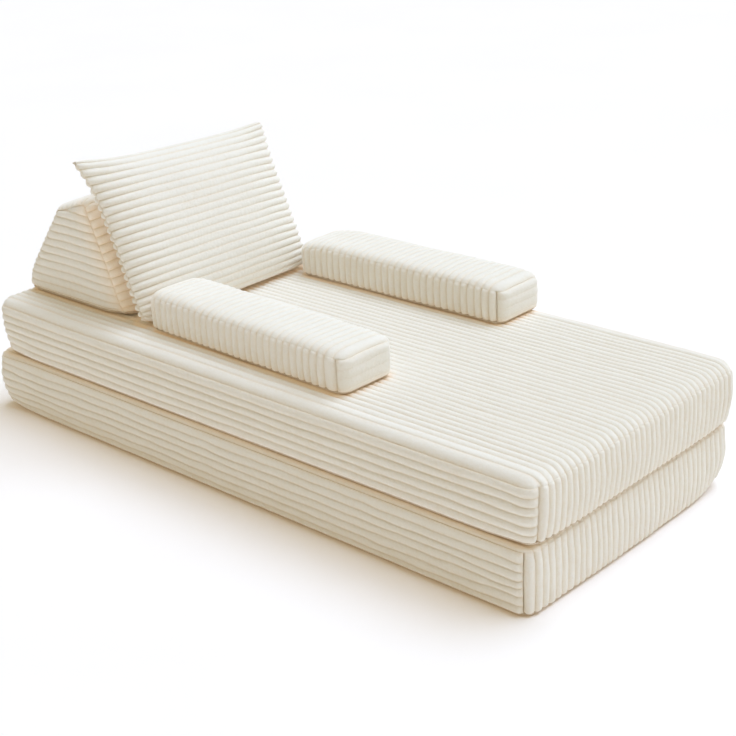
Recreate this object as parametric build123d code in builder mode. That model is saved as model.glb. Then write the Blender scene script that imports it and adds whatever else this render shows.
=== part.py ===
from build123d import *
import math
import os

os.makedirs("parts", exist_ok=True)

# Folding floor sofa bed: two foam slabs joined by a fabric hinge along one long side, two loose arm bolsters,
# a wedge back block and a back cushion. Millimetres. +Z up, floor at z = 0, origin at the middle of the footprint.
# +Y runs from the foot to the back rest, -X is the near long side and +X the hinged long side.

# ---- driving dimensions ----
SLAB_W = 815.0  # across, X
SLAB_L = 1900.0  # along, Y
SLAB_H = 169.0  # thickness of one slab
CREASE = 1.0  # gap between the stacked slabs
SLAB_SHIFT = 8.5  # the upper slab lies this much to the foot, the lower this much to the head
SLAB_X = -1.0  # slabs sit off centre by half of what the hinge strip adds on the far side
SLAB_CORNER_R = 46.0  # corners seen from above
UPPER_TOP_R = 34.0
CREASE_R = 20.0
LOWER_BASE_R = 16.0
COVER = 10.0  # plush, wadding and lining together
TOP_SEAM = 21.0  # the top panel turns down this far to its seam
BASE_SEAM = 10.0

STRIP_T = 2.0  # fabric hinge
STRIP_DROP = 62.0
STRIP_L = 1780.0
HINGE_OUT = 2.5  # fold line, this far outside the far side

ARM_W = 178.0
ARM_L = 724.0
ARM_H = 106.0
ARM_CORNER_R = 34.0
ARM_TOP_R = 24.0
ARM_BASE_R = 14.0
ARM_SEAM = 12.0
RIGHT_ARM_AT = (-236.5, 6.5)
RIGHT_ARM_TURN = -1.6  # degrees, both set down slightly askew
LEFT_ARM_AT = (316.5, -10.0)
LEFT_ARM_TURN = 0.5

REST = 0.5  # loose cushions stand this far above the upper slab
WEDGE_LEN = 624.0  # X
WEDGE_FRONT_LOW = 459.5  # Y of the section's corners
WEDGE_FRONT_TOP = (593.0, 320.0)  # Y, height above the wedge's base
WEDGE_BACK_TOP = (738.0, 272.0)
WEDGE_BACK_MID = (921.0, 40.0)
WEDGE_BACK_LOW = 913.0

PILLOW_W = 622.0
PILLOW_H = 444.0
PILLOW_T = 124.0  # at the middle
PILLOW_EDGE = 30.0  # at the rim
PILLOW_X = -12.0
PILLOW_FOOT_Y = 388.0  # where its middle plane meets the slab
PILLOW_SKIN = 8.0

ZIP_TAPE_W = 24.0
ZIP_TAPE_T = 0.8
ZIP_COIL_W = 5.0
ZIP_COIL_T = 2.0
ZIP_RECESS = 7.2
SLIDER_L = 12.0
SLIDER_W = 9.6
PLATE_T = 1.0
GAP = 0.3
PIN_R = 0.6
PIN_BORE_R = 0.66
KNUCKLE_R = 1.2
PULL_L = 24.0
PULL_W = 5.0
PULL_T = 0.9

UPPER_Z = SLAB_H + CREASE
TOP_Z = UPPER_Z + SLAB_H


def save(piece, name):
    piece.part.label = name
    export_step(piece.part, f"parts/{name}.step")


def turned(frame, x, y, z=0.0):
    """A direction given in the frame's own axes."""
    return frame.from_local_coords(Vector(x, y, z)) - frame.origin


# ---------------------------------------------------------------------------------------------------------
# Zip fasteners. frame: origin at the middle of the recess floor, x along the chain, z out of the cover.
# ---------------------------------------------------------------------------------------------------------
def make_zip(prefix, frame, length):
    with BuildPart() as zip_chain:
        with BuildSketch(frame):
            Rectangle(length, ZIP_TAPE_W)
        extrude(amount=ZIP_TAPE_T)
        with BuildSketch(frame.offset(ZIP_TAPE_T)):
            Rectangle(length - 6, ZIP_COIL_W)
        extrude(amount=ZIP_COIL_T)
        with BuildSketch(frame.offset(ZIP_TAPE_T)):
            with Locations((-length / 2 + 1.5, 0), (length / 2 - 1.5, 0)):
                Rectangle(3, ZIP_COIL_W + 2)
        extrude(amount=ZIP_COIL_T + 0.5)
    save(zip_chain, f"{prefix}_zip_chain")

    # the slider stands at the closed end, astride the coil
    at = -length / 2 + 3 + SLIDER_L / 2 + 1
    plate_z = ZIP_TAPE_T + ZIP_COIL_T + GAP
    lug_top = plate_z + PLATE_T + 2.6
    pin_z = plate_z + PLATE_T + 1.4
    pin_x = at + SLIDER_L / 2 - 3.0
    with BuildPart() as zip_slider:
        with BuildSketch(frame.offset(plate_z)):
            with Locations((at, 0)):
                RectangleRounded(SLIDER_L, SLIDER_W, 2.0)
        extrude(amount=PLATE_T)
        with BuildSketch(frame.offset(ZIP_TAPE_T + GAP)):
            with Locations((at, SLIDER_W / 2 - 0.8), (at, -SLIDER_W / 2 + 0.8)):
                Rectangle(SLIDER_L - 4, 1.6)
        extrude(amount=plate_z - ZIP_TAPE_T - GAP)
        with BuildSketch(frame.offset(plate_z + PLATE_T)):
            with Locations((pin_x, 3.3), (pin_x, -3.3)):
                Rectangle(2.8, 1.2)
        extrude(amount=lug_top - plate_z - PLATE_T)
        pin_frame = Plane(
            origin=frame.from_local_coords(Vector(pin_x, -3.0, pin_z)),
            x_dir=turned(frame, 1, 0),
            z_dir=turned(frame, 0, 1),
        )
        with BuildSketch(pin_frame):
            Circle(PIN_R)
        extrude(amount=6.0)
    save(zip_slider, f"{prefix}_zip_slider")

    knuckle_frame = Plane(
        origin=frame.from_local_coords(Vector(pin_x, -PULL_W / 2, pin_z)),
        x_dir=turned(frame, 1, 0),
        z_dir=turned(frame, 0, 1),
    )
    with BuildPart() as zip_pull:
        with BuildSketch(knuckle_frame):
            Circle(KNUCKLE_R)
        extrude(amount=PULL_W)
        with BuildSketch(frame.offset(pin_z - PULL_T / 2)):
            with Locations((pin_x + PULL_L / 2, 0)):
                Rectangle(PULL_L, PULL_W)
            with Locations((pin_x + PULL_L - 1.0, 0)):
                Circle(PULL_W / 2 + 0.6)
        extrude(amount=PULL_T)
        with BuildSketch(knuckle_frame.offset(-1)):
            Circle(PIN_BORE_R)
        extrude(amount=PULL_W + 2, mode=Mode.SUBTRACT)
        with BuildSketch(frame.offset(pin_z - PULL_T)):
            with Locations((pin_x + PULL_L - 1.0, 0)):
                Circle(1.3)
        extrude(amount=PULL_T * 2, mode=Mode.SUBTRACT)
    save(zip_pull, f"{prefix}_zip_pull")
    return frame.from_local_coords(Vector(pin_x, 0, pin_z))


# ---------------------------------------------------------------------------------------------------------
# A block cushion: foam core in a cover of top, base and four side panels, with the zip in one side panel.
# frame: origin at the middle of the underside, x across and y along the cushion.
# ---------------------------------------------------------------------------------------------------------
def make_block(
    prefix, frame, width, length, height, corner_r, top_r, base_r, seam, names, zip_on, zip_length
):
    x1, y1 = width / 2, length / 2
    with BuildPart() as blank:
        with BuildSketch(frame):
            RectangleRounded(width, length, corner_r)
        extrude(amount=height)
        fillet(blank.faces().sort_by(Axis.Z)[-1].edges(), top_r)
        fillet(blank.faces().sort_by(Axis.Z)[0].edges(), base_r)

    with BuildPart() as foam_core:
        with BuildSketch(frame.offset(COVER)):
            RectangleRounded(width - 2 * COVER, length - 2 * COVER, corner_r - COVER)
        extrude(amount=height - 2 * COVER)
        fillet(foam_core.faces().sort_by(Axis.Z)[-1].edges(), top_r - COVER)
        fillet(foam_core.faces().sort_by(Axis.Z)[0].edges(), max(base_r - COVER, 3.0))
    save(foam_core, f"{prefix}_foam_core")

    with BuildPart() as skin:
        add(blank.part)
        add(foam_core.part, mode=Mode.SUBTRACT)

    with BuildPart() as top_panel:
        add(skin.part)
        split(bisect_by=frame.offset(height - seam), keep=Keep.TOP)
    save(top_panel, f"{prefix}_top_panel")

    with BuildPart() as base_panel:
        add(skin.part)
        split(bisect_by=frame.offset(BASE_SEAM), keep=Keep.BOTTOM)
    save(base_panel, f"{prefix}_base_panel")

    with BuildPart() as band:
        add(skin.part)
        split(bisect_by=frame.offset(height - seam), keep=Keep.BOTTOM)
        split(bisect_by=frame.offset(BASE_SEAM), keep=Keep.TOP)

    # the upright corner seams lie on the diagonals of the corners
    corners = {
        "minus_x": (((-x1, -y1), (-1, 1)), ((-x1, y1), (-1, -1))),
        "plus_x": (((x1, -y1), (1, 1)), ((x1, y1), (1, -1))),
        "minus_y": (((-x1, -y1), (1, -1)), ((x1, -y1), (-1, -1))),
        "plus_y": (((-x1, y1), (1, 1)), ((x1, y1), (-1, 1))),
    }
    out_of = {"plus_x": (1, 0), "plus_y": (0, 1)}
    ax, ay = out_of[zip_on]
    reach = (x1 if ax else y1) - ZIP_RECESS
    zip_z = (height - seam + BASE_SEAM) / 2
    zip_frame = Plane(
        origin=frame.from_local_coords(Vector(ax * reach, ay * reach, zip_z)),
        x_dir=turned(frame, -ay, ax),
        z_dir=turned(frame, ax, ay),
    )
    for side, ((at_a, dir_a), (at_b, dir_b)) in corners.items():
        with BuildPart() as side_panel:
            add(band.part)
            split(
                bisect_by=Plane(
                    origin=frame.from_local_coords(Vector(*at_a, 0)), z_dir=turned(frame, *dir_a)
                ),
                keep=Keep.TOP,
            )
            split(
                bisect_by=Plane(
                    origin=frame.from_local_coords(Vector(*at_b, 0)), z_dir=turned(frame, *dir_b)
                ),
                keep=Keep.TOP,
            )
            # and the opposite side of the cover is left out
            away = {"minus_x": (-1, 0), "plus_x": (1, 0), "minus_y": (0, -1), "plus_y": (0, 1)}[side]
            split(bisect_by=Plane(origin=frame.origin, z_dir=turned(frame, *away)), keep=Keep.TOP)
            if side == zip_on:
                with BuildSketch(zip_frame):
                    Rectangle(zip_length, ZIP_TAPE_W)
                extrude(amount=ZIP_RECESS + 5, mode=Mode.SUBTRACT)
        save(side_panel, f"{prefix}_{names[side]}")
    return make_zip(prefix, zip_frame, zip_length), zip_frame


SLAB_SIDES = {
    "minus_x": "near_panel",
    "plus_x": "far_panel",
    "minus_y": "foot_panel",
    "plus_y": "head_panel",
}

# ---- lower slab, on the floor ----
lower_frame = Plane(origin=(SLAB_X, SLAB_SHIFT, 0), x_dir=(1, 0, 0), z_dir=(0, 0, 1))
lower_pin, lower_zip = make_block(
    "lower", lower_frame, SLAB_W, SLAB_L, SLAB_H, SLAB_CORNER_R, CREASE_R, LOWER_BASE_R,
    TOP_SEAM, SLAB_SIDES, "plus_y", 640.0,
)

# ---- upper slab, stacked on it ----
upper_frame = Plane(origin=(SLAB_X, -SLAB_SHIFT, UPPER_Z), x_dir=(1, 0, 0), z_dir=(0, 0, 1))
upper_pin, upper_zip = make_block(
    "upper", upper_frame, SLAB_W, SLAB_L, SLAB_H, SLAB_CORNER_R, UPPER_TOP_R, CREASE_R,
    TOP_SEAM, SLAB_SIDES, "plus_y", 640.0,
)

# ---- fabric hinge on the far long side, half on each slab ----
far_face = SLAB_X + SLAB_W / 2
fold_z = SLAB_H + CREASE / 2
for half, low, high in (
    ("lower", SLAB_H - CREASE_R - STRIP_DROP, SLAB_H - CREASE_R),
    ("upper", UPPER_Z + CREASE_R, UPPER_Z + CREASE_R + STRIP_DROP),
):
    with BuildPart() as hinge_strip:
        with BuildSketch(Plane(origin=(far_face, 0, 0), x_dir=(0, 1, 0), z_dir=(1, 0, 0))):
            with Locations((0, (low + high) / 2)):
                Rectangle(STRIP_L, high - low)
        extrude(amount=STRIP_T)
        # the free part of the strip that reaches the fold line
        edge = high if half == "lower" else low
        reach_z = fold_z - 0.5 if half == "lower" else fold_z + 0.5
        with BuildSketch(
            Plane(origin=(far_face + STRIP_T - 1.0, 0, 0), x_dir=(0, 1, 0), z_dir=(1, 0, 0))
        ):
            with Locations((0, (edge + reach_z) / 2)):
                Rectangle(STRIP_L, abs(reach_z - edge))
        extrude(amount=1.0)
    save(hinge_strip, f"{half}_hinge_strip")

# ---- arm bolsters, loose on the upper slab. The sitter faces -Y, so the right arm is the one at -X ----
ARM_SIDES = {
    "minus_x": "outer_panel",
    "plus_x": "inner_panel",
    "minus_y": "foot_end_panel",
    "plus_y": "head_end_panel",
}
turn = math.radians(RIGHT_ARM_TURN)
right_frame = Plane(
    origin=(RIGHT_ARM_AT[0], RIGHT_ARM_AT[1], TOP_Z + REST),
    x_dir=(math.cos(turn), math.sin(turn), 0),
    z_dir=(0, 0, 1),
)
right_pin, right_zip = make_block(
    "right_arm", right_frame, ARM_W, ARM_L, ARM_H, ARM_CORNER_R, ARM_TOP_R, ARM_BASE_R,
    ARM_SEAM, ARM_SIDES, "plus_x", 460.0,
)
turn = math.radians(LEFT_ARM_TURN)
left_frame = Plane(
    origin=(LEFT_ARM_AT[0], LEFT_ARM_AT[1], TOP_Z + REST),
    x_dir=(math.cos(turn), math.sin(turn), 0),
    z_dir=(0, 0, 1),
)
left_pin, left_zip = make_block(
    "left_arm", left_frame, ARM_W, ARM_L, ARM_H, ARM_CORNER_R, ARM_TOP_R, ARM_BASE_R,
    ARM_SEAM, {**ARM_SIDES, "minus_x": "inner_panel", "plus_x": "outer_panel"}, "plus_x", 460.0,
)

# ---- wedge back block: a trapezoid section drawn in YZ and run along X ----
base_z = TOP_Z + REST
section = Plane(origin=(-WEDGE_LEN / 2, 0, base_z), x_dir=(0, 1, 0), z_dir=(1, 0, 0))
wedge_points = [
    (WEDGE_FRONT_LOW, 0),
    (WEDGE_BACK_LOW, 0),
    WEDGE_BACK_MID,
    WEDGE_BACK_TOP,
    WEDGE_FRONT_TOP,
]
with BuildPart() as wedge_blank:
    with BuildSketch(section) as wedge_section:
        with BuildLine():
            Polyline(*wedge_points, close=True)
        make_face()
        fillet(wedge_section.vertices().group_by(Axis.Y)[0], 12.0)
        fillet(wedge_section.vertices().sort_by(Axis.Y)[-2:], 26.0)
    extrude(amount=WEDGE_LEN)

with BuildPart() as wedge_foam_core:
    with BuildSketch(section.offset(COVER)) as core_section:
        with BuildLine():
            Polyline(*wedge_points, close=True)
        make_face()
        fillet(core_section.vertices().group_by(Axis.Y)[0], 12.0)
        fillet(core_section.vertices().sort_by(Axis.Y)[-2:], 26.0)
        offset(amount=-COVER, mode=Mode.REPLACE)
    extrude(amount=WEDGE_LEN - 2 * COVER)
save(wedge_foam_core, "wedge_foam_core")

with BuildPart() as wedge_skin:
    add(wedge_blank.part)
    add(wedge_foam_core.part, mode=Mode.SUBTRACT)

with BuildPart() as wedge_right_end_panel:
    add(wedge_blank.part)
    split(bisect_by=section.offset(COVER), keep=Keep.BOTTOM)
save(wedge_right_end_panel, "wedge_right_end_panel")

with BuildPart() as wedge_left_end_panel:
    add(wedge_blank.part)
    split(bisect_by=section.offset(WEDGE_LEN - COVER), keep=Keep.TOP)
save(wedge_left_end_panel, "wedge_left_end_panel")

with BuildPart() as wedge_base_panel:
    add(wedge_skin.part)
    split(bisect_by=section.offset(COVER), keep=Keep.TOP)
    split(bisect_by=section.offset(WEDGE_LEN - COVER), keep=Keep.BOTTOM)
    split(bisect_by=Plane.XY.offset(base_z + BASE_SEAM), keep=Keep.BOTTOM)
save(wedge_base_panel, "wedge_base_panel")

# the slanted back carries the zip, low down
back_a = Vector(0, WEDGE_BACK_MID[0], base_z + WEDGE_BACK_MID[1])
back_b = Vector(0, WEDGE_BACK_TOP[0], base_z + WEDGE_BACK_TOP[1])
back_up = (back_b - back_a).normalized()
back_out = Vector(0, back_up.Z, -back_up.Y)
wedge_zip = Plane(
    origin=back_a + back_up * 80.0 - back_out * ZIP_RECESS, x_dir=(1, 0, 0), z_dir=back_out
)
WEDGE_ZIP_L = 460.0
with BuildPart() as wedge_wrap_panel:
    add(wedge_skin.part)
    split(bisect_by=section.offset(COVER), keep=Keep.TOP)
    split(bisect_by=section.offset(WEDGE_LEN - COVER), keep=Keep.BOTTOM)
    split(bisect_by=Plane.XY.offset(base_z + BASE_SEAM), keep=Keep.TOP)
    with BuildSketch(wedge_zip):
        Rectangle(WEDGE_ZIP_L, ZIP_TAPE_W)
    extrude(amount=ZIP_RECESS + 5, mode=Mode.SUBTRACT)
save(wedge_wrap_panel, "wedge_wrap_panel")
wedge_pin = make_zip("wedge", wedge_zip, WEDGE_ZIP_L)

# ---- back cushion, leaning on the front of the wedge ----
lean = math.atan2(WEDGE_FRONT_TOP[0] - WEDGE_FRONT_LOW, WEDGE_FRONT_TOP[1])
up = Vector(0, math.sin(lean), math.cos(lean))
out = Vector(0, -math.cos(lean), math.sin(lean))
low_z = TOP_Z + REST + 0.5 + (PILLOW_EDGE / 2) * math.sin(lean)
pillow_mid = Vector(PILLOW_X, PILLOW_FOOT_Y, low_z) + up * (PILLOW_H / 2)
pillow_frame = Plane(origin=pillow_mid, x_dir=(1, 0, 0), z_dir=out)


def lens(frame, half, rim, belly, reach):
    """A cushion's profile across one direction, run along the other."""
    with BuildPart() as body:
        with BuildSketch(frame.offset(-reach)):
            with BuildLine():
                ThreePointArc((-half, rim), (0, belly), (half, rim))
                Line((half, rim), (half, -rim))
                ThreePointArc((half, -rim), (0, -belly), (-half, -rim))
                Line((-half, -rim), (-half, rim))
            make_face()
        extrude(amount=2 * reach)
    return body.part


# profiles: across the width (x, thickness) and up the height (y, thickness)
across = Plane(origin=pillow_mid, x_dir=(1, 0, 0), z_dir=-up)
upright = Plane(origin=pillow_mid, x_dir=up, z_dir=Vector(1, 0, 0))
pillow_solid = {}
for layer, inset in (("outer", 0.0), ("inner", PILLOW_SKIN)):
    wide = lens(across, PILLOW_W / 2 - inset, PILLOW_EDGE / 2 - inset * 0.5, PILLOW_T / 2 - inset, 400)
    tall = lens(upright, PILLOW_H / 2 - inset, PILLOW_EDGE / 2 - inset * 0.5, PILLOW_T / 2 - inset, 400)
    with BuildPart() as pillow_layer:
        add(wide)
        add(tall, mode=Mode.INTERSECT)
    pillow_solid[layer] = pillow_layer.part

with BuildPart() as pillow_insert:
    add(pillow_solid["inner"])
save(pillow_insert, "pillow_insert")

with BuildPart() as pillow_skin:
    add(pillow_solid["outer"])
    add(pillow_solid["inner"], mode=Mode.SUBTRACT)

# the zip lies in the lower rim, let in from below
PILLOW_ZIP_L = 420.0
PILLOW_ZIP_DEEP = 7.2
pillow_zip = Plane(
    origin=pillow_mid - up * (PILLOW_H / 2 - PILLOW_ZIP_DEEP), x_dir=(1, 0, 0), z_dir=-up
)
with BuildPart() as pillow_front_panel:
    add(pillow_skin.part)
    split(bisect_by=pillow_frame, keep=Keep.TOP)
    with BuildSketch(pillow_zip):
        Rectangle(PILLOW_ZIP_L, 12.0)
    extrude(amount=PILLOW_ZIP_DEEP + 5, mode=Mode.SUBTRACT)
save(pillow_front_panel, "pillow_front_panel")

with BuildPart() as pillow_back_panel:
    add(pillow_skin.part)
    split(bisect_by=pillow_frame, keep=Keep.BOTTOM)
    with BuildSketch(pillow_zip):
        Rectangle(PILLOW_ZIP_L, 12.0)
    extrude(amount=PILLOW_ZIP_DEEP + 5, mode=Mode.SUBTRACT)
save(pillow_back_panel, "pillow_back_panel")

ZIP_TAPE_W, SLIDER_W = 12.0, 9.0
pillow_pin = make_zip("pillow", pillow_zip, PILLOW_ZIP_L)

for label, frame, pin in (
    ("lower", lower_zip, lower_pin),
    ("upper", upper_zip, upper_pin),
    ("right_arm", right_zip, right_pin),
    ("left_arm", left_zip, left_pin),
    ("wedge", wedge_zip, wedge_pin),
    ("pillow", pillow_zip, pillow_pin),
):
    print(
        label, "pin", [round(v, 3) for v in pin], "along", [round(v, 5) for v in frame.x_dir],
        "pin axis", [round(v, 5) for v in frame.y_dir], "out", [round(v, 5) for v in frame.z_dir],
    )
print("fold line x", far_face + HINGE_OUT, "z", fold_z, "lean", math.degrees(lean), "pillow middle", pillow_mid)
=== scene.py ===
import math

import bpy
import numpy as np
from mathutils import Matrix, Vector


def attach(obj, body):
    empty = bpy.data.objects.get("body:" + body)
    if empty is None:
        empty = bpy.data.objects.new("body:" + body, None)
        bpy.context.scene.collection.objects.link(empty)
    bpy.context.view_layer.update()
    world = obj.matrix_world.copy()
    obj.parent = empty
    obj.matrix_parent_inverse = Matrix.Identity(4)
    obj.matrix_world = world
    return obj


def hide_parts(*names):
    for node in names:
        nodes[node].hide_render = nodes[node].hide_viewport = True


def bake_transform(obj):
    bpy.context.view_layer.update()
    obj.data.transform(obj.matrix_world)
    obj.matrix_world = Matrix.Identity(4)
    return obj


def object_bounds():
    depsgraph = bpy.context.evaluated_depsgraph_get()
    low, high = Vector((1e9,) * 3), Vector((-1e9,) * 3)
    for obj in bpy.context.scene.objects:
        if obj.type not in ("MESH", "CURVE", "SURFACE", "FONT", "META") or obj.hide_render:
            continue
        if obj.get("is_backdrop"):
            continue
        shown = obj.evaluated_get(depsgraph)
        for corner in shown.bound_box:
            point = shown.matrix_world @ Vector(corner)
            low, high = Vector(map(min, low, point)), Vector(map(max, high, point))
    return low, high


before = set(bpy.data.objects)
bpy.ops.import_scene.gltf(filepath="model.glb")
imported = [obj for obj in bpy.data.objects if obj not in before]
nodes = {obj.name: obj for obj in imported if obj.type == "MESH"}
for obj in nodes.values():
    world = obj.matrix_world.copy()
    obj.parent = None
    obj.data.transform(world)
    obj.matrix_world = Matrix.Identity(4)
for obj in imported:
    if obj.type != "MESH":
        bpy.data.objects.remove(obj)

cad_low, cad_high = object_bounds()

# =========================================================================================================
# Camera, first: everything is placed in the row frame, in metres
# =========================================================================================================
PIX = 736.0
EYE = np.array([-2.5980, -2.5984, 1.7553])
LOOK = np.array([0.66627, 0.63640, -0.38869])
LOOK = LOOK / np.linalg.norm(LOOK)
ROLL = math.radians(-3.045)
FOCAL = 1501.1  # pixels at 736 wide
_right = np.cross(LOOK, [0.0, 0.0, 1.0])
_right /= np.linalg.norm(_right)
_up = np.cross(_right, LOOK)
RIGHT = _right * math.cos(ROLL) + _up * math.sin(ROLL)
UP = -_right * math.sin(ROLL) + _up * math.cos(ROLL)

cam_data = bpy.data.cameras.new("camera")
cam_data.sensor_width = 36.0
cam_data.lens = 36.0 * FOCAL / PIX
cam_data.clip_start, cam_data.clip_end = 0.05, 200.0
cam = bpy.data.objects.new("camera", cam_data)
cam.matrix_world = Matrix(
    (
        (RIGHT[0], UP[0], -LOOK[0], EYE[0]),
        (RIGHT[1], UP[1], -LOOK[1], EYE[1]),
        (RIGHT[2], UP[2], -LOOK[2], EYE[2]),
        (0.0, 0.0, 0.0, 1.0),
    )
)
bpy.context.scene.collection.objects.link(cam)
bpy.context.scene.camera = cam


# =========================================================================================================
# Smooth seeded noise
# =========================================================================================================
def lattice(seed, n=64):
    return np.random.RandomState(seed).uniform(-1.0, 1.0, (n, n))


_LATTICES = {}


def noise2(x, y, seed):
    """Smooth value noise with unit cells, from -1 to 1."""
    if seed not in _LATTICES:
        _LATTICES[seed] = lattice(seed)
    g = _LATTICES[seed]
    n = g.shape[0]
    x, y = np.broadcast_arrays(np.asarray(x, float), np.asarray(y, float))
    i, j = np.floor(x).astype(int), np.floor(y).astype(int)
    fx, fy = x - i, y - j
    fx, fy = fx * fx * fx * (fx * (fx * 6 - 15) + 10), fy * fy * fy * (fy * (fy * 6 - 15) + 10)
    i0, i1, j0, j1 = i % n, (i + 1) % n, j % n, (j + 1) % n
    a = g[i0, j0] * (1 - fx) + g[i1, j0] * fx
    b = g[i0, j1] * (1 - fx) + g[i1, j1] * fx
    return a * (1 - fy) + b * fy


def smooth(t):
    t = np.clip(t, 0.0, 1.0)
    return t * t * (3 - 2 * t)


# =========================================================================================================
# Ribs
# =========================================================================================================
RIB = 0.0062  # height of a rib over its groove
STEPS = np.array([0.0, 0.05, 0.12, 0.22, 0.36, 0.5, 0.64, 0.78, 0.88, 0.95])


def rib_height(u):
    """Section of one plush rib, u from groove to groove."""
    t = np.abs(2 * np.clip(u, 0, 1) - 1)
    return (1 - t**2.1) ** 0.8


def rib_columns(grooves):
    """Column places along the ribbed direction: (groove index, share of the way to the next)."""
    k, u = [], []
    for i in range(len(grooves) - 1):
        for s in STEPS:
            k.append(i)
            u.append(s)
    k.append(len(grooves) - 2)
    u.append(1.0)
    return np.array(k), np.array(u)


def capsule(e, reach=0.011):
    """How a rib rounds off towards a seam at distance e."""
    t = np.clip(1 - np.maximum(e, 0) / reach, 0, 1)
    return (1 - t**2.2) ** 0.5


def stepped(low, high, pitch, fine=0.0015, band=0.014):
    """Rows from low to high, close together near both ends."""
    near = np.array([0, 0.35, 0.8, 1.5, 2.6, 4.2, 6.2, 9.0]) * fine
    near = near[near < (high - low) / 2 - pitch * 0.3]
    a, b = low + near[-1], high - near[-1]
    n = max(1, int(round((b - a) / pitch)))
    return np.concatenate([low + near[:-1], np.linspace(a, b, n + 1), (high - near[:-1])[::-1]])


# =========================================================================================================
# Meshes
# =========================================================================================================
def finish_object(name, verts, faces, material, body, slot, node=None, fill=None, attributes=None, flat=False):
    me = bpy.data.meshes.new(name)
    sizes = np.array([len(f) for f in faces], np.int32) if not isinstance(faces, tuple) else None
    if sizes is not None:
        loops = np.concatenate([np.asarray(f, np.int32) for f in faces])
    else:  # (quads array, list of other faces)
        quads, others = faces
        sizes = np.concatenate([np.full(len(quads), 4, np.int32), np.array([len(f) for f in others], np.int32)])
        loops = np.concatenate([np.asarray(quads, np.int32).ravel()] + [np.asarray(f, np.int32) for f in others])
    starts = np.concatenate([[0], np.cumsum(sizes)[:-1]]).astype(np.int32)
    me.vertices.add(len(verts))
    me.vertices.foreach_set("co", np.asarray(verts, np.float32).ravel())
    me.loops.add(len(loops))
    me.loops.foreach_set("vertex_index", loops.astype(np.int32))
    me.polygons.add(len(sizes))
    me.polygons.foreach_set("loop_start", starts)
    me.polygons.foreach_set("loop_total", sizes)
    me.update(calc_edges=True)
    me.validate()
    if not flat:
        me.polygons.foreach_set("use_smooth", np.ones(len(me.polygons), bool))
    for key, values in (attributes or {}).items():
        at = me.attributes.new(key, "FLOAT", "POINT")
        at.data.foreach_set("value", np.asarray(values, np.float32))
    me.materials.append(material)
    ob = bpy.data.objects.new(name, me)
    bpy.context.scene.collection.objects.link(ob)
    if body is not None:
        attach(ob, body)
    if node is not None:
        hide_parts(*([node] if isinstance(node, str) else node))
    return ob


def normals_of(P):
    """Unit normals of a grid of points (rows, columns, 3)."""
    du = np.gradient(P, axis=1)
    dv = np.gradient(P, axis=0)
    n = np.cross(du, dv)
    return n / np.maximum(np.linalg.norm(n, axis=2, keepdims=True), 1e-12)


def shell(P, N, lift, under, stride_r, stride_c):
    """A closed panel: the outer grid P lifted by lift along N, an inner grid at depth under, and the rim between.
    Returns vertices, (quads, others), and how many vertices belong to the outer grid."""
    nr, nc = P.shape[:2]
    outer = P + N * lift[..., None]
    rows = list(range(0, nr - 1, stride_r)) + [nr - 1]
    cols = list(range(0, nc - 1, stride_c)) + [nc - 1]
    inner = (P - N * under)[np.ix_(rows, cols)]
    ir, ic = len(rows), len(cols)
    verts = np.concatenate([outer.reshape(-1, 3), inner.reshape(-1, 3)])
    o = np.arange(nr * nc).reshape(nr, nc)
    i = np.arange(ir * ic).reshape(ir, ic) + nr * nc
    q1 = np.stack([o[:-1, :-1], o[:-1, 1:], o[1:, 1:], o[1:, :-1]], -1).reshape(-1, 4)
    q2 = np.stack([i[:-1, :-1], i[1:, :-1], i[1:, 1:], i[:-1, 1:]], -1).reshape(-1, 4)
    others = []
    for c in range(ic - 1):  # first and last row
        run = list(range(cols[c], cols[c + 1] + 1))
        others.append([i[0, c], i[0, c + 1]] + [o[0, x] for x in reversed(run)])
        others.append([i[-1, c + 1], i[-1, c]] + [o[-1, x] for x in run])
    for r in range(ir - 1):
        run = list(range(rows[r], rows[r + 1] + 1))
        others.append([i[r + 1, 0], i[r, 0]] + [o[x, 0] for x in run])
        others.append([i[r, -1], i[r + 1, -1]] + [o[x, -1] for x in reversed(run)])
    return verts, (np.concatenate([q1, q2]), others), nr * nc


def off_box(x, y, cx, cy, hx, hy, turn, r):
    """Distance in plan outside a round-cornered footprint, negative inside it."""
    c, s = math.cos(turn), math.sin(turn)
    u, v = (x - cx) * c + (y - cy) * s, -(x - cx) * s + (y - cy) * c
    qx, qy = np.abs(u) - (hx - r), np.abs(v) - (hy - r)
    return np.hypot(np.maximum(qx, 0), np.maximum(qy, 0)) + np.minimum(np.maximum(qx, qy), 0) - r


# Plan footprints of the arms, wedge and back cushion on the upper slab, round which painted contact shade goes
FOOTPRINTS = [
    (-0.2365, 0.0065, 0.089, 0.362, -0.0279, 0.034),
    (0.3165, -0.0100, 0.089, 0.362, 0.0087, 0.034),
    (0.0, 0.688, 0.306, 0.226, 0.0, 0.03),
    (-0.012, 0.415, 0.300, 0.040, 0.0, 0.03),
]


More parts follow.
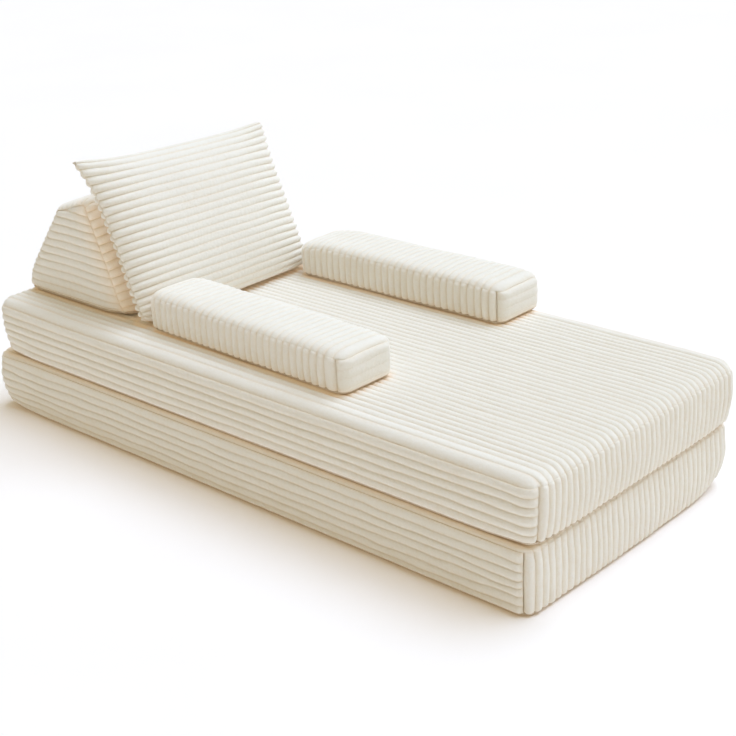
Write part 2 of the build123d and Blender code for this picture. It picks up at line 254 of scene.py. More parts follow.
def tucked(V, body):
    """From 0 in the open to 1 deep in a crease: the mask for the painted warm shade and painted glow put into the plush
    along its creases, contact lines and floor line.
    """
    x, y, z = V[:, 0], V[:, 1], V[:, 2]
    if body in ("lower_slab", "upper_slab"):
        deep = np.minimum(0.4075 - np.abs(x), 0.95 - np.abs(y))
        # painted shade along the crease between the slabs
        t = np.exp(-np.abs(z - 0.1695) / 0.0065) * np.exp(-np.maximum(deep - 0.035, 0) / 0.02)
        if body == "lower_slab":
            # painted shade where the lower slab meets the floor
            t = np.maximum(t, 0.8 * np.exp(-np.maximum(z, 0) / 0.006))
        else:
            # painted shade round the cushions' footprints on the upper slab's top
            d = np.min([off_box(x, y, *f) for f in FOOTPRINTS], axis=0)
            t = np.maximum(t, np.exp(-np.maximum(d, 0) / 0.007) * np.exp(-np.maximum(-d - 0.006, 0) / 0.008) * smooth((z - 0.29) / 0.02))
        return t
    # painted shade along the base of the arms, wedge and back cushion
    t = np.exp(-np.maximum(z - 0.3400, 0) / 0.009)
    if body == "wedge":
        # painted shade on the wedge behind the back cushion
        front = 0.4595 + (z - 0.3395) * 0.1335 / 0.32
        t = np.maximum(t, np.exp(-np.maximum(np.abs(x) - 0.295, 0) / 0.03) * smooth((0.10 - (y - front)) / 0.08) * smooth((0.66 - z) / 0.04) * smooth((np.abs(x) - 0.15) / 0.09) * 0.8)
    if body in ("right_arm", "left_arm"):
        # painted shade on the arms' head ends, which face the back cushion
        t = np.maximum(t, np.exp(-np.maximum(0.405 - y - 0.03, 0) / 0.012) * 0.8)
    return t


def panel_object(name, P, height, amp, material, body, slot, fill, centre, under=0.0092, strides=(4, 10), extra=None, over=0.0, normals=None):
    """height is the rib field from 0 in the grooves to 1 on the crests, amp its size in metres (a number or a field);
    extra is a further lift. The crests lie on P, or over it by the given amount. centre is a point inside the cushion."""
    if np.einsum("ijk,ijk->ij", normals_of(P), P - np.asarray(centre)).mean() < 0:
        P, height = P[:, ::-1], height[:, ::-1]
        normals = normals[:, ::-1] if normals is not None else None
        amp = amp[:, ::-1] if isinstance(amp, np.ndarray) else amp
        extra = extra[:, ::-1] if extra is not None else None
    N = normals_of(P) if normals is None else normals
    lift = over - amp * (1 - height)
    if extra is not None:
        lift = lift + extra
    verts, faces, n_outer = shell(P, N, lift, under, *strides)
    crest = np.zeros(len(verts))
    crest[:n_outer] = height.ravel()
    # crest carries the rib height for the painted groove shade; tuck is the mask for the painted crease shade and glow
    shade = {"crest": crest, "tuck": tucked(verts, body)}
    return finish_object(name, verts, faces, material, body, slot, node=name, fill=fill, attributes=shade)


# =========================================================================================================
# Materials
# =========================================================================================================
class Nodes:
    def __init__(self, name):
        self.mat = bpy.data.materials.new(name)
        self.mat.use_nodes = True
        self.t = self.mat.node_tree
        for n in list(self.t.nodes):
            self.t.nodes.remove(n)
        self.out = self.add("ShaderNodeOutputMaterial")
        self.bsdf = self.add("ShaderNodeBsdfPrincipled")
        self.link(self.bsdf.outputs[0], self.out.inputs["Surface"])

    def add(self, kind, **props):
        n = self.t.nodes.new(kind)
        for k, v in props.items():
            setattr(n, k, v)
        return n

    def link(self, a, b):
        self.t.links.new(a, b)

    def coords(self, scale=(1, 1, 1), rotate=(0, 0, 0)):
        c = self.add("ShaderNodeTexCoord")
        m = self.add("ShaderNodeMapping")
        m.inputs["Scale"].default_value = scale
        m.inputs["Rotation"].default_value = rotate
        self.link(c.outputs["Object"], m.inputs["Vector"])
        return m.outputs[0]

    def noise(self, vector, scale, detail=3.0, rough=0.55, distort=0.0):
        n = self.add("ShaderNodeTexNoise")
        n.inputs["Scale"].default_value = scale
        n.inputs["Detail"].default_value = detail
        n.inputs["Roughness"].default_value = rough
        n.inputs["Distortion"].default_value = distort
        self.link(vector, n.inputs["Vector"])
        return n.outputs["Fac"]

    def voronoi(self, vector, scale, feature="F1", out="Distance", randomness=1.0):
        n = self.add("ShaderNodeTexVoronoi", feature=feature)
        n.inputs["Scale"].default_value = scale
        n.inputs["Randomness"].default_value = randomness
        self.link(vector, n.inputs["Vector"])
        return n.outputs[out]

    def ramp(self, value, low, high, to_low=0.0, to_high=1.0):
        n = self.add("ShaderNodeMapRange")
        n.inputs["From Min"].default_value = low
        n.inputs["From Max"].default_value = high
        n.inputs["To Min"].default_value = to_low
        n.inputs["To Max"].default_value = to_high
        self.link(value, n.inputs["Value"])
        return n.outputs[0]

    def math(self, op, a, b=None, clamp=False):
        n = self.add("ShaderNodeMath", operation=op, use_clamp=clamp)
        for k, v in enumerate((a, b)):
            if v is None:
                continue
            if isinstance(v, (int, float)):
                n.inputs[k].default_value = v
            else:
                self.link(v, n.inputs[k])
        return n.outputs[0]

    def mix(self, fac, a, b, blend="MIX"):
        n = self.add("ShaderNodeMix", data_type="RGBA", blend_type=blend)
        if isinstance(fac, (int, float)):
            n.inputs["Factor"].default_value = fac
        else:
            self.link(fac, n.inputs["Factor"])
        for key, v in (("A", a), ("B", b)):
            socket = [s for s in n.inputs if s.name == key and s.type == "RGBA"][0]
            if isinstance(v, tuple):
                socket.default_value = (*v, 1.0)
            else:
                self.link(v, socket)
        return [s for s in n.outputs if s.type == "RGBA"][0]

    def attribute(self, name):
        n = self.add("ShaderNodeAttribute", attribute_name=name)
        return n.outputs["Fac"]

    def bump(self, height, strength, distance, under=None):
        n = self.add("ShaderNodeBump")
        n.inputs["Strength"].default_value = strength
        n.inputs["Distance"].default_value = distance
        self.link(height, n.inputs["Height"])
        if under is not None:
            self.link(under, n.inputs["Normal"])
        return n.outputs[0]

    def set(self, **values):
        for k, v in values.items():
            self.bsdf.inputs[k.replace("_", " ")].default_value = v


def plush_material():
    """Ivory ribbed plush: dense short pile, with painted shade that makes it darker and warmer down in the grooves than
    on the crests, and painted warm shade and glow in its creases.
    """
    m = Nodes("ivory_plush")
    p = m.coords()
    crest = m.attribute("crest")
    pile = m.noise(p, 420.0, 3.0, 0.6)
    clump = m.noise(p, 120.0, 3.0, 0.55, 0.4)
    drift = m.noise(p, 5.0, 2.0, 0.5)
    # painted groove shade: the rib height (crest) mixes the colour from a darker, warmer groove tone up to the pale
    # crest tone
    shade = m.math("POWER", crest, 0.6)
    shade = m.math("ADD", shade, m.ramp(clump, 0.3, 0.7, -0.16, 0.16), clamp=True)
    colour = m.mix(shade, (0.870, 0.775, 0.630), (0.930, 0.908, 0.850))
    colour = m.mix(m.ramp(drift, 0.35, 0.65, 0.0, 0.2), colour, (0.920, 0.885, 0.805))
    colour = m.mix(m.ramp(pile, 0.35, 0.7, 0.14, 0.0), colour, (0.87, 0.80, 0.69))
    # painted crease shade and glow: the tuck mask warms the colour toward an orange tan and makes the plush glow a dim
    # warm orange in its creases, though it is no lamp
    tuck = m.attribute("tuck")
    colour = m.mix(m.math("MULTIPLY", tuck, 0.4), colour, (0.94, 0.75, 0.55))
    m.link(colour, m.bsdf.inputs["Base Color"])
    m.link(m.mix(tuck, (0.0, 0.0, 0.0), (0.095, 0.055, 0.025)), m.bsdf.inputs["Emission Color"])
    m.bsdf.inputs["Emission Strength"].default_value = 1.0
    m.link(m.ramp(clump, 0.3, 0.7, 0.86, 0.98), m.bsdf.inputs["Roughness"])
    height = m.math("ADD", m.math("MULTIPLY", pile, 0.45), m.math("MULTIPLY", clump, 1.0))
    m.link(m.bump(height, 0.55, 0.0022), m.bsdf.inputs["Normal"])
    m.set(Sheen_Weight=0.15, Sheen_Roughness=0.55, Sheen_Tint=(1.0, 0.97, 0.92, 1.0), Specular_IOR_Level=0.15)
    return m.mat


def woven_material(name, low, high, pitch=900.0, strength=0.4):
    """Plain weave: two crossed sets of threads."""
    m = Nodes(name)
    p = m.coords()
    waves = []
    for axis in ("X", "Y"):
        w = m.add("ShaderNodeTexWave", wave_type="BANDS", bands_direction=axis)
        w.inputs["Scale"].default_value = pitch / 6.2832
        w.inputs["Distortion"].default_value = 0.6
        w.inputs["Detail"].default_value = 1.0
        m.link(p, w.inputs["Vector"])
        waves.append(w.outputs["Fac"])
    weave = m.math("MULTIPLY", waves[0], waves[1])
    blotch = m.noise(p, 14.0, 3.0)
    colour = m.mix(m.math("ADD", m.math("MULTIPLY", weave, 0.6), m.ramp(blotch, 0.3, 0.7, 0.0, 0.4)), low, high)
    m.link(colour, m.bsdf.inputs["Base Color"])
    m.link(m.ramp(weave, 0.0, 1.0, 0.92, 0.78), m.bsdf.inputs["Roughness"])
    m.link(m.bump(weave, strength, 0.0006), m.bsdf.inputs["Normal"])
    m.set(Specular_IOR_Level=0.25, Sheen_Weight=0.15)
    return m.mat


def foam_material():
    """Open-cell foam: small cells of uneven size."""
    m = Nodes("open_cell_foam")
    p = m.coords()
    cells = m.voronoi(p, 520.0)
    big = m.voronoi(p, 140.0)
    tone = m.noise(p, 7.0, 2.0)
    colour = m.mix(m.ramp(cells, 0.1, 0.7), (0.80, 0.76, 0.62), (0.90, 0.88, 0.78))
    colour = m.mix(m.ramp(tone, 0.3, 0.7, 0.0, 0.3), colour, (0.86, 0.80, 0.64))
    m.link(colour, m.bsdf.inputs["Base Color"])
    m.link(m.ramp(cells, 0.0, 0.8, 0.97, 0.85), m.bsdf.inputs["Roughness"])
    h = m.math("ADD", m.math("MULTIPLY", cells, -0.6), m.math("MULTIPLY", big, -0.4))
    m.link(m.bump(h, 0.7, 0.001), m.bsdf.inputs["Normal"])
    m.set(Specular_IOR_Level=0.2)
    return m.mat


def fibre_material():
    m = Nodes("fibre_fill_cloth")
    p = m.coords()
    fine = m.noise(p, 600.0, 4.0, 0.7)
    soft = m.noise(p, 60.0, 3.0, 0.6)
    colour = m.mix(m.ramp(fine, 0.3, 0.7), (0.86, 0.86, 0.84), (0.95, 0.95, 0.94))
    m.link(colour, m.bsdf.inputs["Base Color"])
    m.link(m.ramp(fine, 0.2, 0.8, 0.95, 0.8), m.bsdf.inputs["Roughness"])
    m.link(m.bump(m.math("ADD", fine, soft), 0.5, 0.001), m.bsdf.inputs["Normal"])
    m.set(Specular_IOR_Level=0.2, Sheen_Weight=0.2)
    return m.mat


def tape_material():
    m = Nodes("zip_tape_twill")
    p = m.coords(rotate=(0.6, 0.6, 0.6))
    w = m.add("ShaderNodeTexWave", wave_type="BANDS", bands_direction="DIAGONAL")
    w.inputs["Scale"].default_value = 190.0
    w.inputs["Distortion"].default_value = 0.5
    m.link(p, w.inputs["Vector"])
    dirt = m.noise(p, 90.0, 2.0)
    colour = m.mix(w.outputs["Fac"], (0.70, 0.64, 0.52), (0.86, 0.81, 0.70))
    colour = m.mix(m.ramp(dirt, 0.4, 0.7, 0.0, 0.2), colour, (0.62, 0.56, 0.46))
    m.link(colour, m.bsdf.inputs["Base Color"])
    m.link(m.ramp(dirt, 0.3, 0.7, 0.72, 0.85), m.bsdf.inputs["Roughness"])
    m.link(m.bump(w.outputs["Fac"], 0.4, 0.0004), m.bsdf.inputs["Normal"])
    m.set(Specular_IOR_Level=0.3)
    return m.mat


def metal_material():
    """Painted zinc: satin ivory enamel with small scuffs where the edges rub."""
    m = Nodes("painted_zip_metal")
    p = m.coords()
    scuff = m.noise(p, 900.0, 4.0, 0.65)
    worn = m.noise(p, 160.0, 2.0)
    colour = m.mix(m.ramp(scuff, 0.62, 0.72), (0.80, 0.76, 0.67), (0.60, 0.57, 0.52))
    m.link(colour, m.bsdf.inputs["Base Color"])
    m.link(m.ramp(worn, 0.3, 0.7, 0.28, 0.46), m.bsdf.inputs["Roughness"])
    m.link(m.bump(scuff, 0.15, 0.0002), m.bsdf.inputs["Normal"])
    m.set(Metallic=0.35, Specular_IOR_Level=0.5)
    return m.mat


PLUSH = plush_material()
# Underside cloth: a real plain weave, its tone made darker and browner than the plush as painted shade, since it shows
# only down in the creases and along the floor
UNDER = woven_material("underside_weave_shade_tinted", (0.66, 0.55, 0.42), (0.80, 0.71, 0.59), 800.0)
HINGE = woven_material("hinge_canvas", (0.74, 0.67, 0.56), (0.86, 0.81, 0.72), 1100.0, 0.6)
FOAM = foam_material()
FIBRE = fibre_material()
TAPE = tape_material()
METAL = metal_material()


# =========================================================================================================
# Block cushions: slabs and arms. Local axes: ribs of the top run along y; x across them.
# =========================================================================================================
class Block:
    def __init__(self, prefix, body, W, L, H, R, rt, rb, drop_t, drop_b, origin, turn, dent, names, grooves,
                 side_ribs, bulge, wobble, knuckle, seed, zip_at=None, rib=RIB, seams=None, over=0.0015):
        self.__dict__.update(locals())
        self.a, self.b = W / 2, L / 2
        self.ft = math.acos(1 - drop_t / rt)  # where the top panel ends, round the top edge
        self.fb = math.acos(1 - drop_b / rb)
        self.centre = np.array([origin[0], origin[1], origin[2] + H / 2])

    # ---- from the straight-sided block to the soft one, then into the row frame ----
    def place(self, P, firm=None):
        """firm, from 0 to 1, is how far a point keeps to the straight-sided block, as the stiff zip makes it."""
        Q = self.dent(self, P)
        P = Q if firm is None else Q + (P - Q) * firm[..., None]
        c, s = math.cos(self.turn), math.sin(self.turn)
        x, y, z = P[..., 0], P[..., 1], P[..., 2]
        return np.stack(
            [self.origin[0] + c * x - s * y, self.origin[1] + s * x + c * y, self.origin[2] + z], -1
        )

    def cap(self, x0, y0, radius, top):
        """Point of the top or base panel whose flat pattern place is x0, y0."""
        R = self.R
        cx = np.clip(x0, -(self.a - R), self.a - R)
        cy = np.clip(y0, -(self.b - R), self.b - R)
        ex, ey = x0 - cx, y0 - cy
        rho = np.hypot(ex, ey)
        safe = np.maximum(rho, 1e-9)
        flat = R - radius
        phi = np.clip((rho - flat) / radius, 0, None)
        plan = np.where(rho <= flat, rho, flat + radius * np.sin(phi))
        z = np.where(rho <= flat, 0.0, radius * (1 - np.cos(phi)))
        x = cx + ex / safe * plan
        y = cy + ey / safe * plan
        return np.stack([x, y, self.H - z if top else z], -1)

    def pattern(self, radius, angle):
        """Half sizes and corner radius of a cap panel's flat pattern."""
        grow = radius * angle - radius
        return self.a + grow, self.b + grow, self.R + grow

    def cap_grid(self, grooves, radius, angle, top, pitch):
        """A grid over the cap panel, columns on the ribs."""
        hx, hy, rc = self.pattern(radius, angle)
        g = np.concatenate([[-hx], grooves, [hx]])
        k, u = rib_columns(g)
        rows = stepped(-1.0, 1.0, pitch / hy, 0.0016 / hy)
        along = rows[:, None] * hy
        wob = self.wobble * (
            noise2(g[None, :] / 0.05 + 7.3, along / 0.21 + 3.1, self.seed)
            + 0.55 * noise2(g[None, :] / 0.017 + 1.7, along / 0.075 + 9.4, self.seed + 1)
        )
        edge = np.clip((hx - np.abs(g)) / 0.03, 0, 1)
        gy = g[None, :] + wob * edge[None, :]
        x0 = gy[:, k] + (gy[:, k + 1] - gy[:, k]) * u[None, :]
        over = np.clip(np.abs(x0) - (hx - rc), 0, rc)
        ymax = hy - rc + np.sqrt(np.maximum(rc * rc - over * over, 0))
        y0 = rows[:, None] * ymax
        # distance to the pattern's edge
        qx, qy = np.abs(x0) - (hx - rc), np.abs(y0) - (hy - rc)
        inside = rc - np.hypot(np.maximum(qx, 0), np.maximum(qy, 0)) - np.minimum(np.maximum(qx, qy), 0)
        return x0, y0, k, u, inside, hx, hy

    def roughen(self, k, along, seed):
        """Height of each rib, a little uneven along it."""
        return 1 + 0.10 * noise2(k * 0.83 + 0.5, along / 0.09, seed + 5) + 0.06 * noise2(k * 1.7, along / 0.03, seed + 6)

    def caps(self, base_material, base_slot):
        grooves = self.grooves
        x0, y0, k, u, e, hx, hy = self.cap_grid(grooves, self.rt, self.ft, True, 0.0135)
        P = self.place(self.cap(x0, y0, self.rt, True))
        # the ribs are pulled flatter along the near edge of a slab
        amp = self.rib * (1 - (0.5 if "slab" in self.body else 0.0) * smooth((0.080 - self.a - x0) / 0.04))
        end = hy - np.abs(y0)
        q = 1 - (1 - capsule(e)) * self.knuckle
        height = np.clip(rib_height(u)[None, :] * self.roughen(k[None, :], y0, self.seed) * q, 0, 1.15)
        panel_object(f"{self.prefix}_top_panel", P, height, amp, PLUSH, self.body, "plush", 0.85, self.centre, strides=(4, 10))
        # base: smooth cloth
        x0, y0, k, u, e, hx, hy = self.cap_grid(grooves[::3], self.rb, self.fb, False, 0.05)
        P = self.place(self.cap(x0, y0, self.rb, False))
        height = 1 - 0.35 * (1 - capsule(e, 0.006))
        height = np.broadcast_to(height, x0.shape)
        panel_object(
            f"{self.prefix}_base_panel", P, np.array(height), 0.004, base_material, self.body, base_slot, 0.85, self.centre,
            strides=(2, 10), under=0.0085,
        )

    # ---- sides ----
    def side_profile(self, v):
        """(inset, height) at v metres below the top seam, over the top edge, down the side and round the base edge."""
        arc_t = self.rt * (math.pi / 2 - self.ft)
        wall = self.H - self.rt - self.rb
        z = np.empty_like(v)
        inset = np.empty_like(v)
        on_t = v < arc_t
        f = self.ft + v[on_t] / self.rt
        z[on_t] = self.H - self.rt * (1 - np.cos(f))
        inset[on_t] = self.rt * (1 - np.sin(f))
        on_w = (v >= arc_t) & (v <= arc_t + wall)
        z[on_w] = self.H - self.rt - (v[on_w] - arc_t)
        inset[on_w] = 0
        on_b = v > arc_t + wall
        f = (v[on_b] - arc_t - wall) / self.rb
        z[on_b] = self.rb * (1 - np.sin(f))
        inset[on_b] = self.rb * (1 - np.cos(f))
        return inset, z

    def side_length(self):
        return self.rt * (math.pi / 2 - self.ft) + self.H - self.rt - self.rb + self.rb * (math.pi / 2 - self.fb)

    def side_point(self, face, s, v):
        """s runs along the side from its middle, v down from the top seam; face is x-, x+, y- or y+."""
        inset, z = self.side_profile(v.ravel())
        inset, z = inset.reshape(v.shape), z.reshape(v.shape)
        half = (self.b if face[0] == "x" else self.a) - self.R
        over = np.clip(np.abs(s) - half, 0, None)
        ang = over / self.R
        reach = self.R - inset
        along = np.sign(s) * (np.minimum(np.abs(s), half) + reach * np.sin(ang))
        out = (self.a if face[0] == "x" else self.b) - self.R + reach * np.cos(ang)
        sign = -1 if face[1] == "-" else 1
        if face[0] == "x":
            return np.stack([sign * out, along, z], -1)
        return np.stack([along, sign * out, z], -1)

    def seam_angle(self, face, sign):
        """Where the corner seam at that end of a side lies, as an angle round the corner from the side's own normal."""
        end = "-" if sign < 0 else "+"
        key = face[1] + end if face[0] == "x" else end + face[1]
        from_y = math.radians((self.seams or {}).get(key, 45.0))
        return from_y if face[0] == "y" else math.pi / 2 - from_y

    def zip_dent(self, s, v, amp_height):
        """How far the panel is let in for its zip."""
        half, v_mid, wide, _ = self.zip_at
        d = np.maximum(np.abs(s) - half, np.abs(v - v_mid) - wide / 2)
        return smooth((0.0022 - d) / 0.0034)

    def zip_firm(self, s, v):
        """How far the panel keeps straight beside its zip."""
        half, v_mid, wide, _ = self.zip_at
        return smooth(1.25 - np.maximum(np.abs(s) - half, 0) / 0.05) * smooth(1.35 - np.maximum(np.abs(v - v_mid) - wide / 2, 0) / 0.024)

    def side(self, face, grooves=None):
        arm = "arm" in self.prefix
        tall = self.rib * ((2.1 if face[0] == "y" else 1.2) if arm else (1.25 if face[0] == "y" else 0.75))
        half = (self.b if face[0] == "x" else self.a) - self.R
        s_lo, s_hi = -(half + self.R * self.seam_angle(face, -1)), half + self.R * self.seam_angle(face, 1)
        V = self.side_length()
        name = self.names[face]
        upright = face[0] == "y"
        has_zip = self.zip_at is not None and self.zip_at[3] == face
        if upright:
            # rib grooves carry on from the top panel's
            hx, hy, rc = self.pattern(self.rt, self.ft)
            g = np.array(self.grooves)
            t = np.clip((np.abs(g) - half) / rc, 0, 1)
            g = np.sign(g) * np.where(np.abs(g) > half, half + self.R * np.arcsin(t), np.abs(g))
            g = g[(g > s_lo + 0.012) & (g < s_hi - 0.012)]
            g = np.concatenate([[s_lo], g, [s_hi]])
            k, u = rib_columns(g)
            rows = stepped(0.0, V, 0.0055 if not has_zip else 0.004)
            if has_zip:
                v_mid, wide = self.zip_at[1], self.zip_at[2]
                extra = np.concatenate([v_mid + sg * (wide / 2 + np.array([-0.0014, -0.0004, 0.0006, 0.0016, 0.0026])) for sg in (-1, 1)])
                rows = np.unique(np.round(np.concatenate([rows[np.min(np.abs(rows[:, None] - extra[None]), axis=1) > 0.0006], extra]), 6))
            v = rows[:, None]
            wob = self.wobble * (
                0.9 * noise2(g[None, :] / 0.05 + 2.3, v / 0.10 + 5.1, self.seed + 11)
                + 0.7 * noise2(g[None, :] / 0.017 + 1.7, v / 0.045 + 9.4, self.seed + 12)
            )
            wob = wob * np.clip(np.minimum(g - s_lo, s_hi - g) / 0.02, 0, 1)[None, :] * smooth(v / 0.03)
            gy = g[None, :] + wob
            s = gy[:, k] + (gy[:, k + 1] - gy[:, k]) * u[None, :]
            v = np.broadcast_to(v, s.shape)
            e_end = np.minimum(v, V - v)
            q = 1 - (1 - capsule(np.minimum(v, 1))) * self.knuckle
            q = q * (0.25 + 0.75 * capsule(V - v, 0.012)) if "slab" in self.body else q * capsule(V - v, 0.014)
            height = rib_height(u)[None, :] * self.roughen(k[None, :], v, self.seed + 20) * q
            strides = (4, 10)
        else:
            g = np.asarray(self.side_ribs, float)
            g = np.concatenate([[0.0], g[(g > 0.004) & (g < V - 0.004)], [V]])
            k, u = rib_columns(g)
            rows = stepped(s_lo, s_hi, 0.0075)
            if has_zip:
                extra = np.concatenate([sg * (self.zip_at[0] + np.array([-0.0014, -0.0004, 0.0006, 0.0016, 0.0026])) for sg in (-1, 1)])
                rows = np.unique(np.round(np.concatenate([rows[np.min(np.abs(rows[:, None] - extra[None]), axis=1) > 0.0006], extra]), 6))
            s = rows[:, None]
            wob = self.wobble * (
                1.3 * noise2(s / 0.16 + 2.3, g[None, :] / 0.04 + 5.1, self.seed + 31)
                + 0.8 * noise2(s / 0.055 + 1.7, g[None, :] / 0.017 + 9.4, self.seed + 32)
            )
            wob = wob * (1 + 1.6 * np.exp(-np.minimum(s - s_lo, s_hi - s) / 0.06))
            wob = wob * np.clip(np.minimum(g, V - g) / 0.012, 0, 1)[None, :]
            gv = g[None, :] + wob
            v = gv[:, k] + (gv[:, k + 1] - gv[:, k]) * u[None, :]
            s = np.broadcast_to(s, v.shape)
            q = capsule(np.minimum(s - s_lo, s_hi - s), 0.016 if arm else 0.012)
            ribs = rib_height(u)[None, :]
            if arm:  # the ends are filled out, with shallow ribs
                ribs = (0.66 + 0.34 * ribs) * capsule(np.clip(np.minimum(v, V - v), 0, 1), 0.014)
            height = ribs * self.roughen(k[None, :], s, self.seed + 40) * q
            # grids run rows along s here; the columns are down the side
            strides = (4, 10)
        height = np.clip(height, 0, 1.15)
        if face == "x-" and not arm:
            tall = tall * (1 - 0.45 * smooth((0.040 - v) / 0.025))
        P = self.place(self.side_point(face, s, v), self.zip_firm(s, v) if has_zip else None)
        extra = None
        if has_zip:
            dent = self.zip_dent(s, v, height)
            height = height * (1 - dent)
            extra = -dent * (0.0078 - tall + self.over)
        if not upright:
            P, height = np.transpose(P, (1, 0, 2)), height.T
            extra = extra.T if extra is not None else None
            tall = tall.T if isinstance(tall, np.ndarray) else tall
            strides = (10, 4)
        # rows go down the side now, columns along it
        panel_object(
            name, P, height, tall, PLUSH, self.body, "plush", 0.85, self.centre, strides=strides, extra=extra,
            over=0.0 if face == "x+" else self.over,
        )

    def core(self, depth=0.0104):
        """The foam block inside the cover, a little crowned."""
        W, L, H = self.W - 2 * depth, self.L - 2 * depth, self.H - 2 * depth
        r = max(self.rt - depth, 0.006)
        nx, ny, nz = max(6, int(W / 0.05)), max(6, int(L / 0.05)), 6
        n_arc = 5
        # super-ellipsoid-like rounded block: rings of the plan outline from base to top
        Rc = max(self.R - depth, r + 0.002)
        pts = []
        for sx, sy, a0 in ((1, 1, 0), (-1, 1, 90), (-1, -1, 180), (1, -1, 270)):
            cx, cy = sx * (W / 2 - Rc), sy * (L / 2 - Rc)
            for t in np.linspace(a0, a0 + 90, 7):
                pts.append((cx, cy, math.cos(math.radians(t)), math.sin(math.radians(t))))
        ring = []
        m = len(pts)
        for j in range(m):  # straight runs get points between the corners
            p, q = pts[j], pts[(j + 1) % m]
            ring.append(p)
            gap = math.hypot(q[0] - p[0], q[1] - p[1])
            if gap > 0.01:
                n = max(1, int(gap / 0.06))
                for t in range(1, n):
                    f = t / n
                    ring.append((p[0] + (q[0] - p[0]) * f, p[1] + (q[1] - p[1]) * f, p[2], p[3]))
        ring = np.array(ring)
        n = len(ring)
        levels = []
        rb = max(self.rb - depth, 0.004)
        for f in np.linspace(0, math.pi / 2, n_arc):
            levels.append((rb * (1 - math.sin(f)), rb * (1 - math.cos(f))))
        for f in np.linspace(0.15, 0.85, 5):
            levels.append((0.0, rb + (H - rb - r) * f))
        for f in np.linspace(0, math.pi / 2, n_arc):
            levels.append((r * (1 - math.cos(f)), H - r * (1 - math.sin(f))))
        V = []
        for inset, z in levels:
            reach = Rc - inset
            V.append(np.stack([ring[:, 0] + ring[:, 2] * reach, ring[:, 1] + ring[:, 3] * reach, np.full(n, z + depth)], -1))
        faces = []
        for j in range(len(levels) - 1):
            for i in range(n):
                i2 = (i + 1) % n
                faces.append([j * n + i, j * n + i2, (j + 1) * n + i2, (j + 1) * n + i])
        # rings shrink to the middle on top and base
        top, base = V[-1], V[0]
        for cap, up in ((top, True), (base, False)):
            last = (len(V) - 1) * n if up else 0
            prev = np.arange(last, last + n)
            for f in (0.75, 0.5, 0.25):
                rr = cap * np.array([f, f, 1]) if True else cap
                V.append(rr)
                now = np.arange((len(V) - 1) * n, len(V) * n)
                for i in range(n):
                    i2 = (i + 1) % n
                    quad = [prev[i], prev[i2], now[i2], now[i]]
                    faces.append(quad if up else quad[::-1])
                prev = now
            faces.append(list(prev) if up else list(prev[::-1]))
        P = np.concatenate(V)
        firm = None
        if self.zip_at is not None:  # the foam keeps straight behind the zip too
            half, v_mid, _, face = self.zip_at
            i = 0 if face[0] == "x" else 1
            out = P[:, i] * (-1 if face[1] == "-" else 1) - ((self.b if i else self.a) - 0.06)
            _, z_mid = self.side_profile(np.array([v_mid]))
            firm = smooth(out / 0.03) * smooth(1.25 - np.maximum(np.abs(P[:, 1 - i]) - half, 0) / 0.05)
            firm = firm * smooth(1.9 - np.abs(P[:, 2] - z_mid[0]) / 0.03)
        P = self.place(P, firm)
        finish_object(f"{self.prefix}_foam_core", P, faces, FOAM, self.body, "foam", node=f"{self.prefix}_foam_core", fill=1.0)


# ---- how each block gives and sags: P in the block's own axes, z up from its base ----
def crown_drop(x, y, a, b, seed):
    """How far the upper slab's top falls away towards its edges, in its own axes."""
    ex, ey = np.clip((a - np.abs(x)) / 0.15, 0, 1), np.clip((b - np.abs(y)) / 0.15, 0, 1)
    head = np.clip((y - (b - 0.30)) / 0.20, 0, 1)
    size = np.where(x < 0, 0.0070 * (1 - 0.6 * head), 0.0015)
    qx, qy = size * (1 - ex) ** 2, 0.0060 * (1 - 0.6 * head) * (1 - ey) ** 2
    return np.sqrt(qx**2 + qy**2) + 0.0010 * noise2(x / 0.16, y / 0.22, seed + 50)


def slab_fall(x, y):
    """Fall of the upper slab's top under a row place, with its rounded edge."""
    x, y = x + 0.001, y + 0.0085
    edge = np.maximum(np.abs(x) - (0.4075 - 0.034), 0)
    end = np.maximum(np.abs(y) - (0.950 - 0.034), 0)
    off = np.minimum(np.hypot(edge, end), 0.033)
    return crown_drop(x, y, 0.4075, 0.950, 200) + 0.034 - np.sqrt(0.034**2 - off**2)


def corner_pull(b, x, y, z, deep, wide):
    """Draws the upright corner seams in: moves of x and y."""
    qx, qy = np.abs(x) - (b.a - b.R), np.abs(y) - (b.b - b.R)
    ang = np.arctan2(np.maximum(qx, 0), np.maximum(qy, 1e-9))
    run = np.where(qx < 0, qx, np.where(qy < 0, b.R * math.pi / 2 - qy, b.R * ang))  # along the rim, from the corner's start
    dx, dy = np.zeros_like(x), np.zeros_like(x)
    for sx in (-1, 1):
        for sy in (-1, 1):
            key = ("-" if sx < 0 else "+") + ("-" if sy < 0 else "+")
            beta = math.radians((b.seams or {}).get(key, 45.0))
            here = (x * sx > 0) & (y * sy > 0)
            pull = deep * np.exp(-(((run - b.R * beta) / wide) ** 2)) * here
            rim = smooth((np.hypot(np.maximum(qx, 0), np.maximum(qy, 0)) / b.R - 0.55) / 0.4)
            pull = pull * rim * smooth((b.H - z) / 0.030) * smooth(z / 0.012 + 0.3)
            dx, dy = dx - sx * pull * math.sin(beta), dy - sy * pull * math.cos(beta)
    return dx, dy


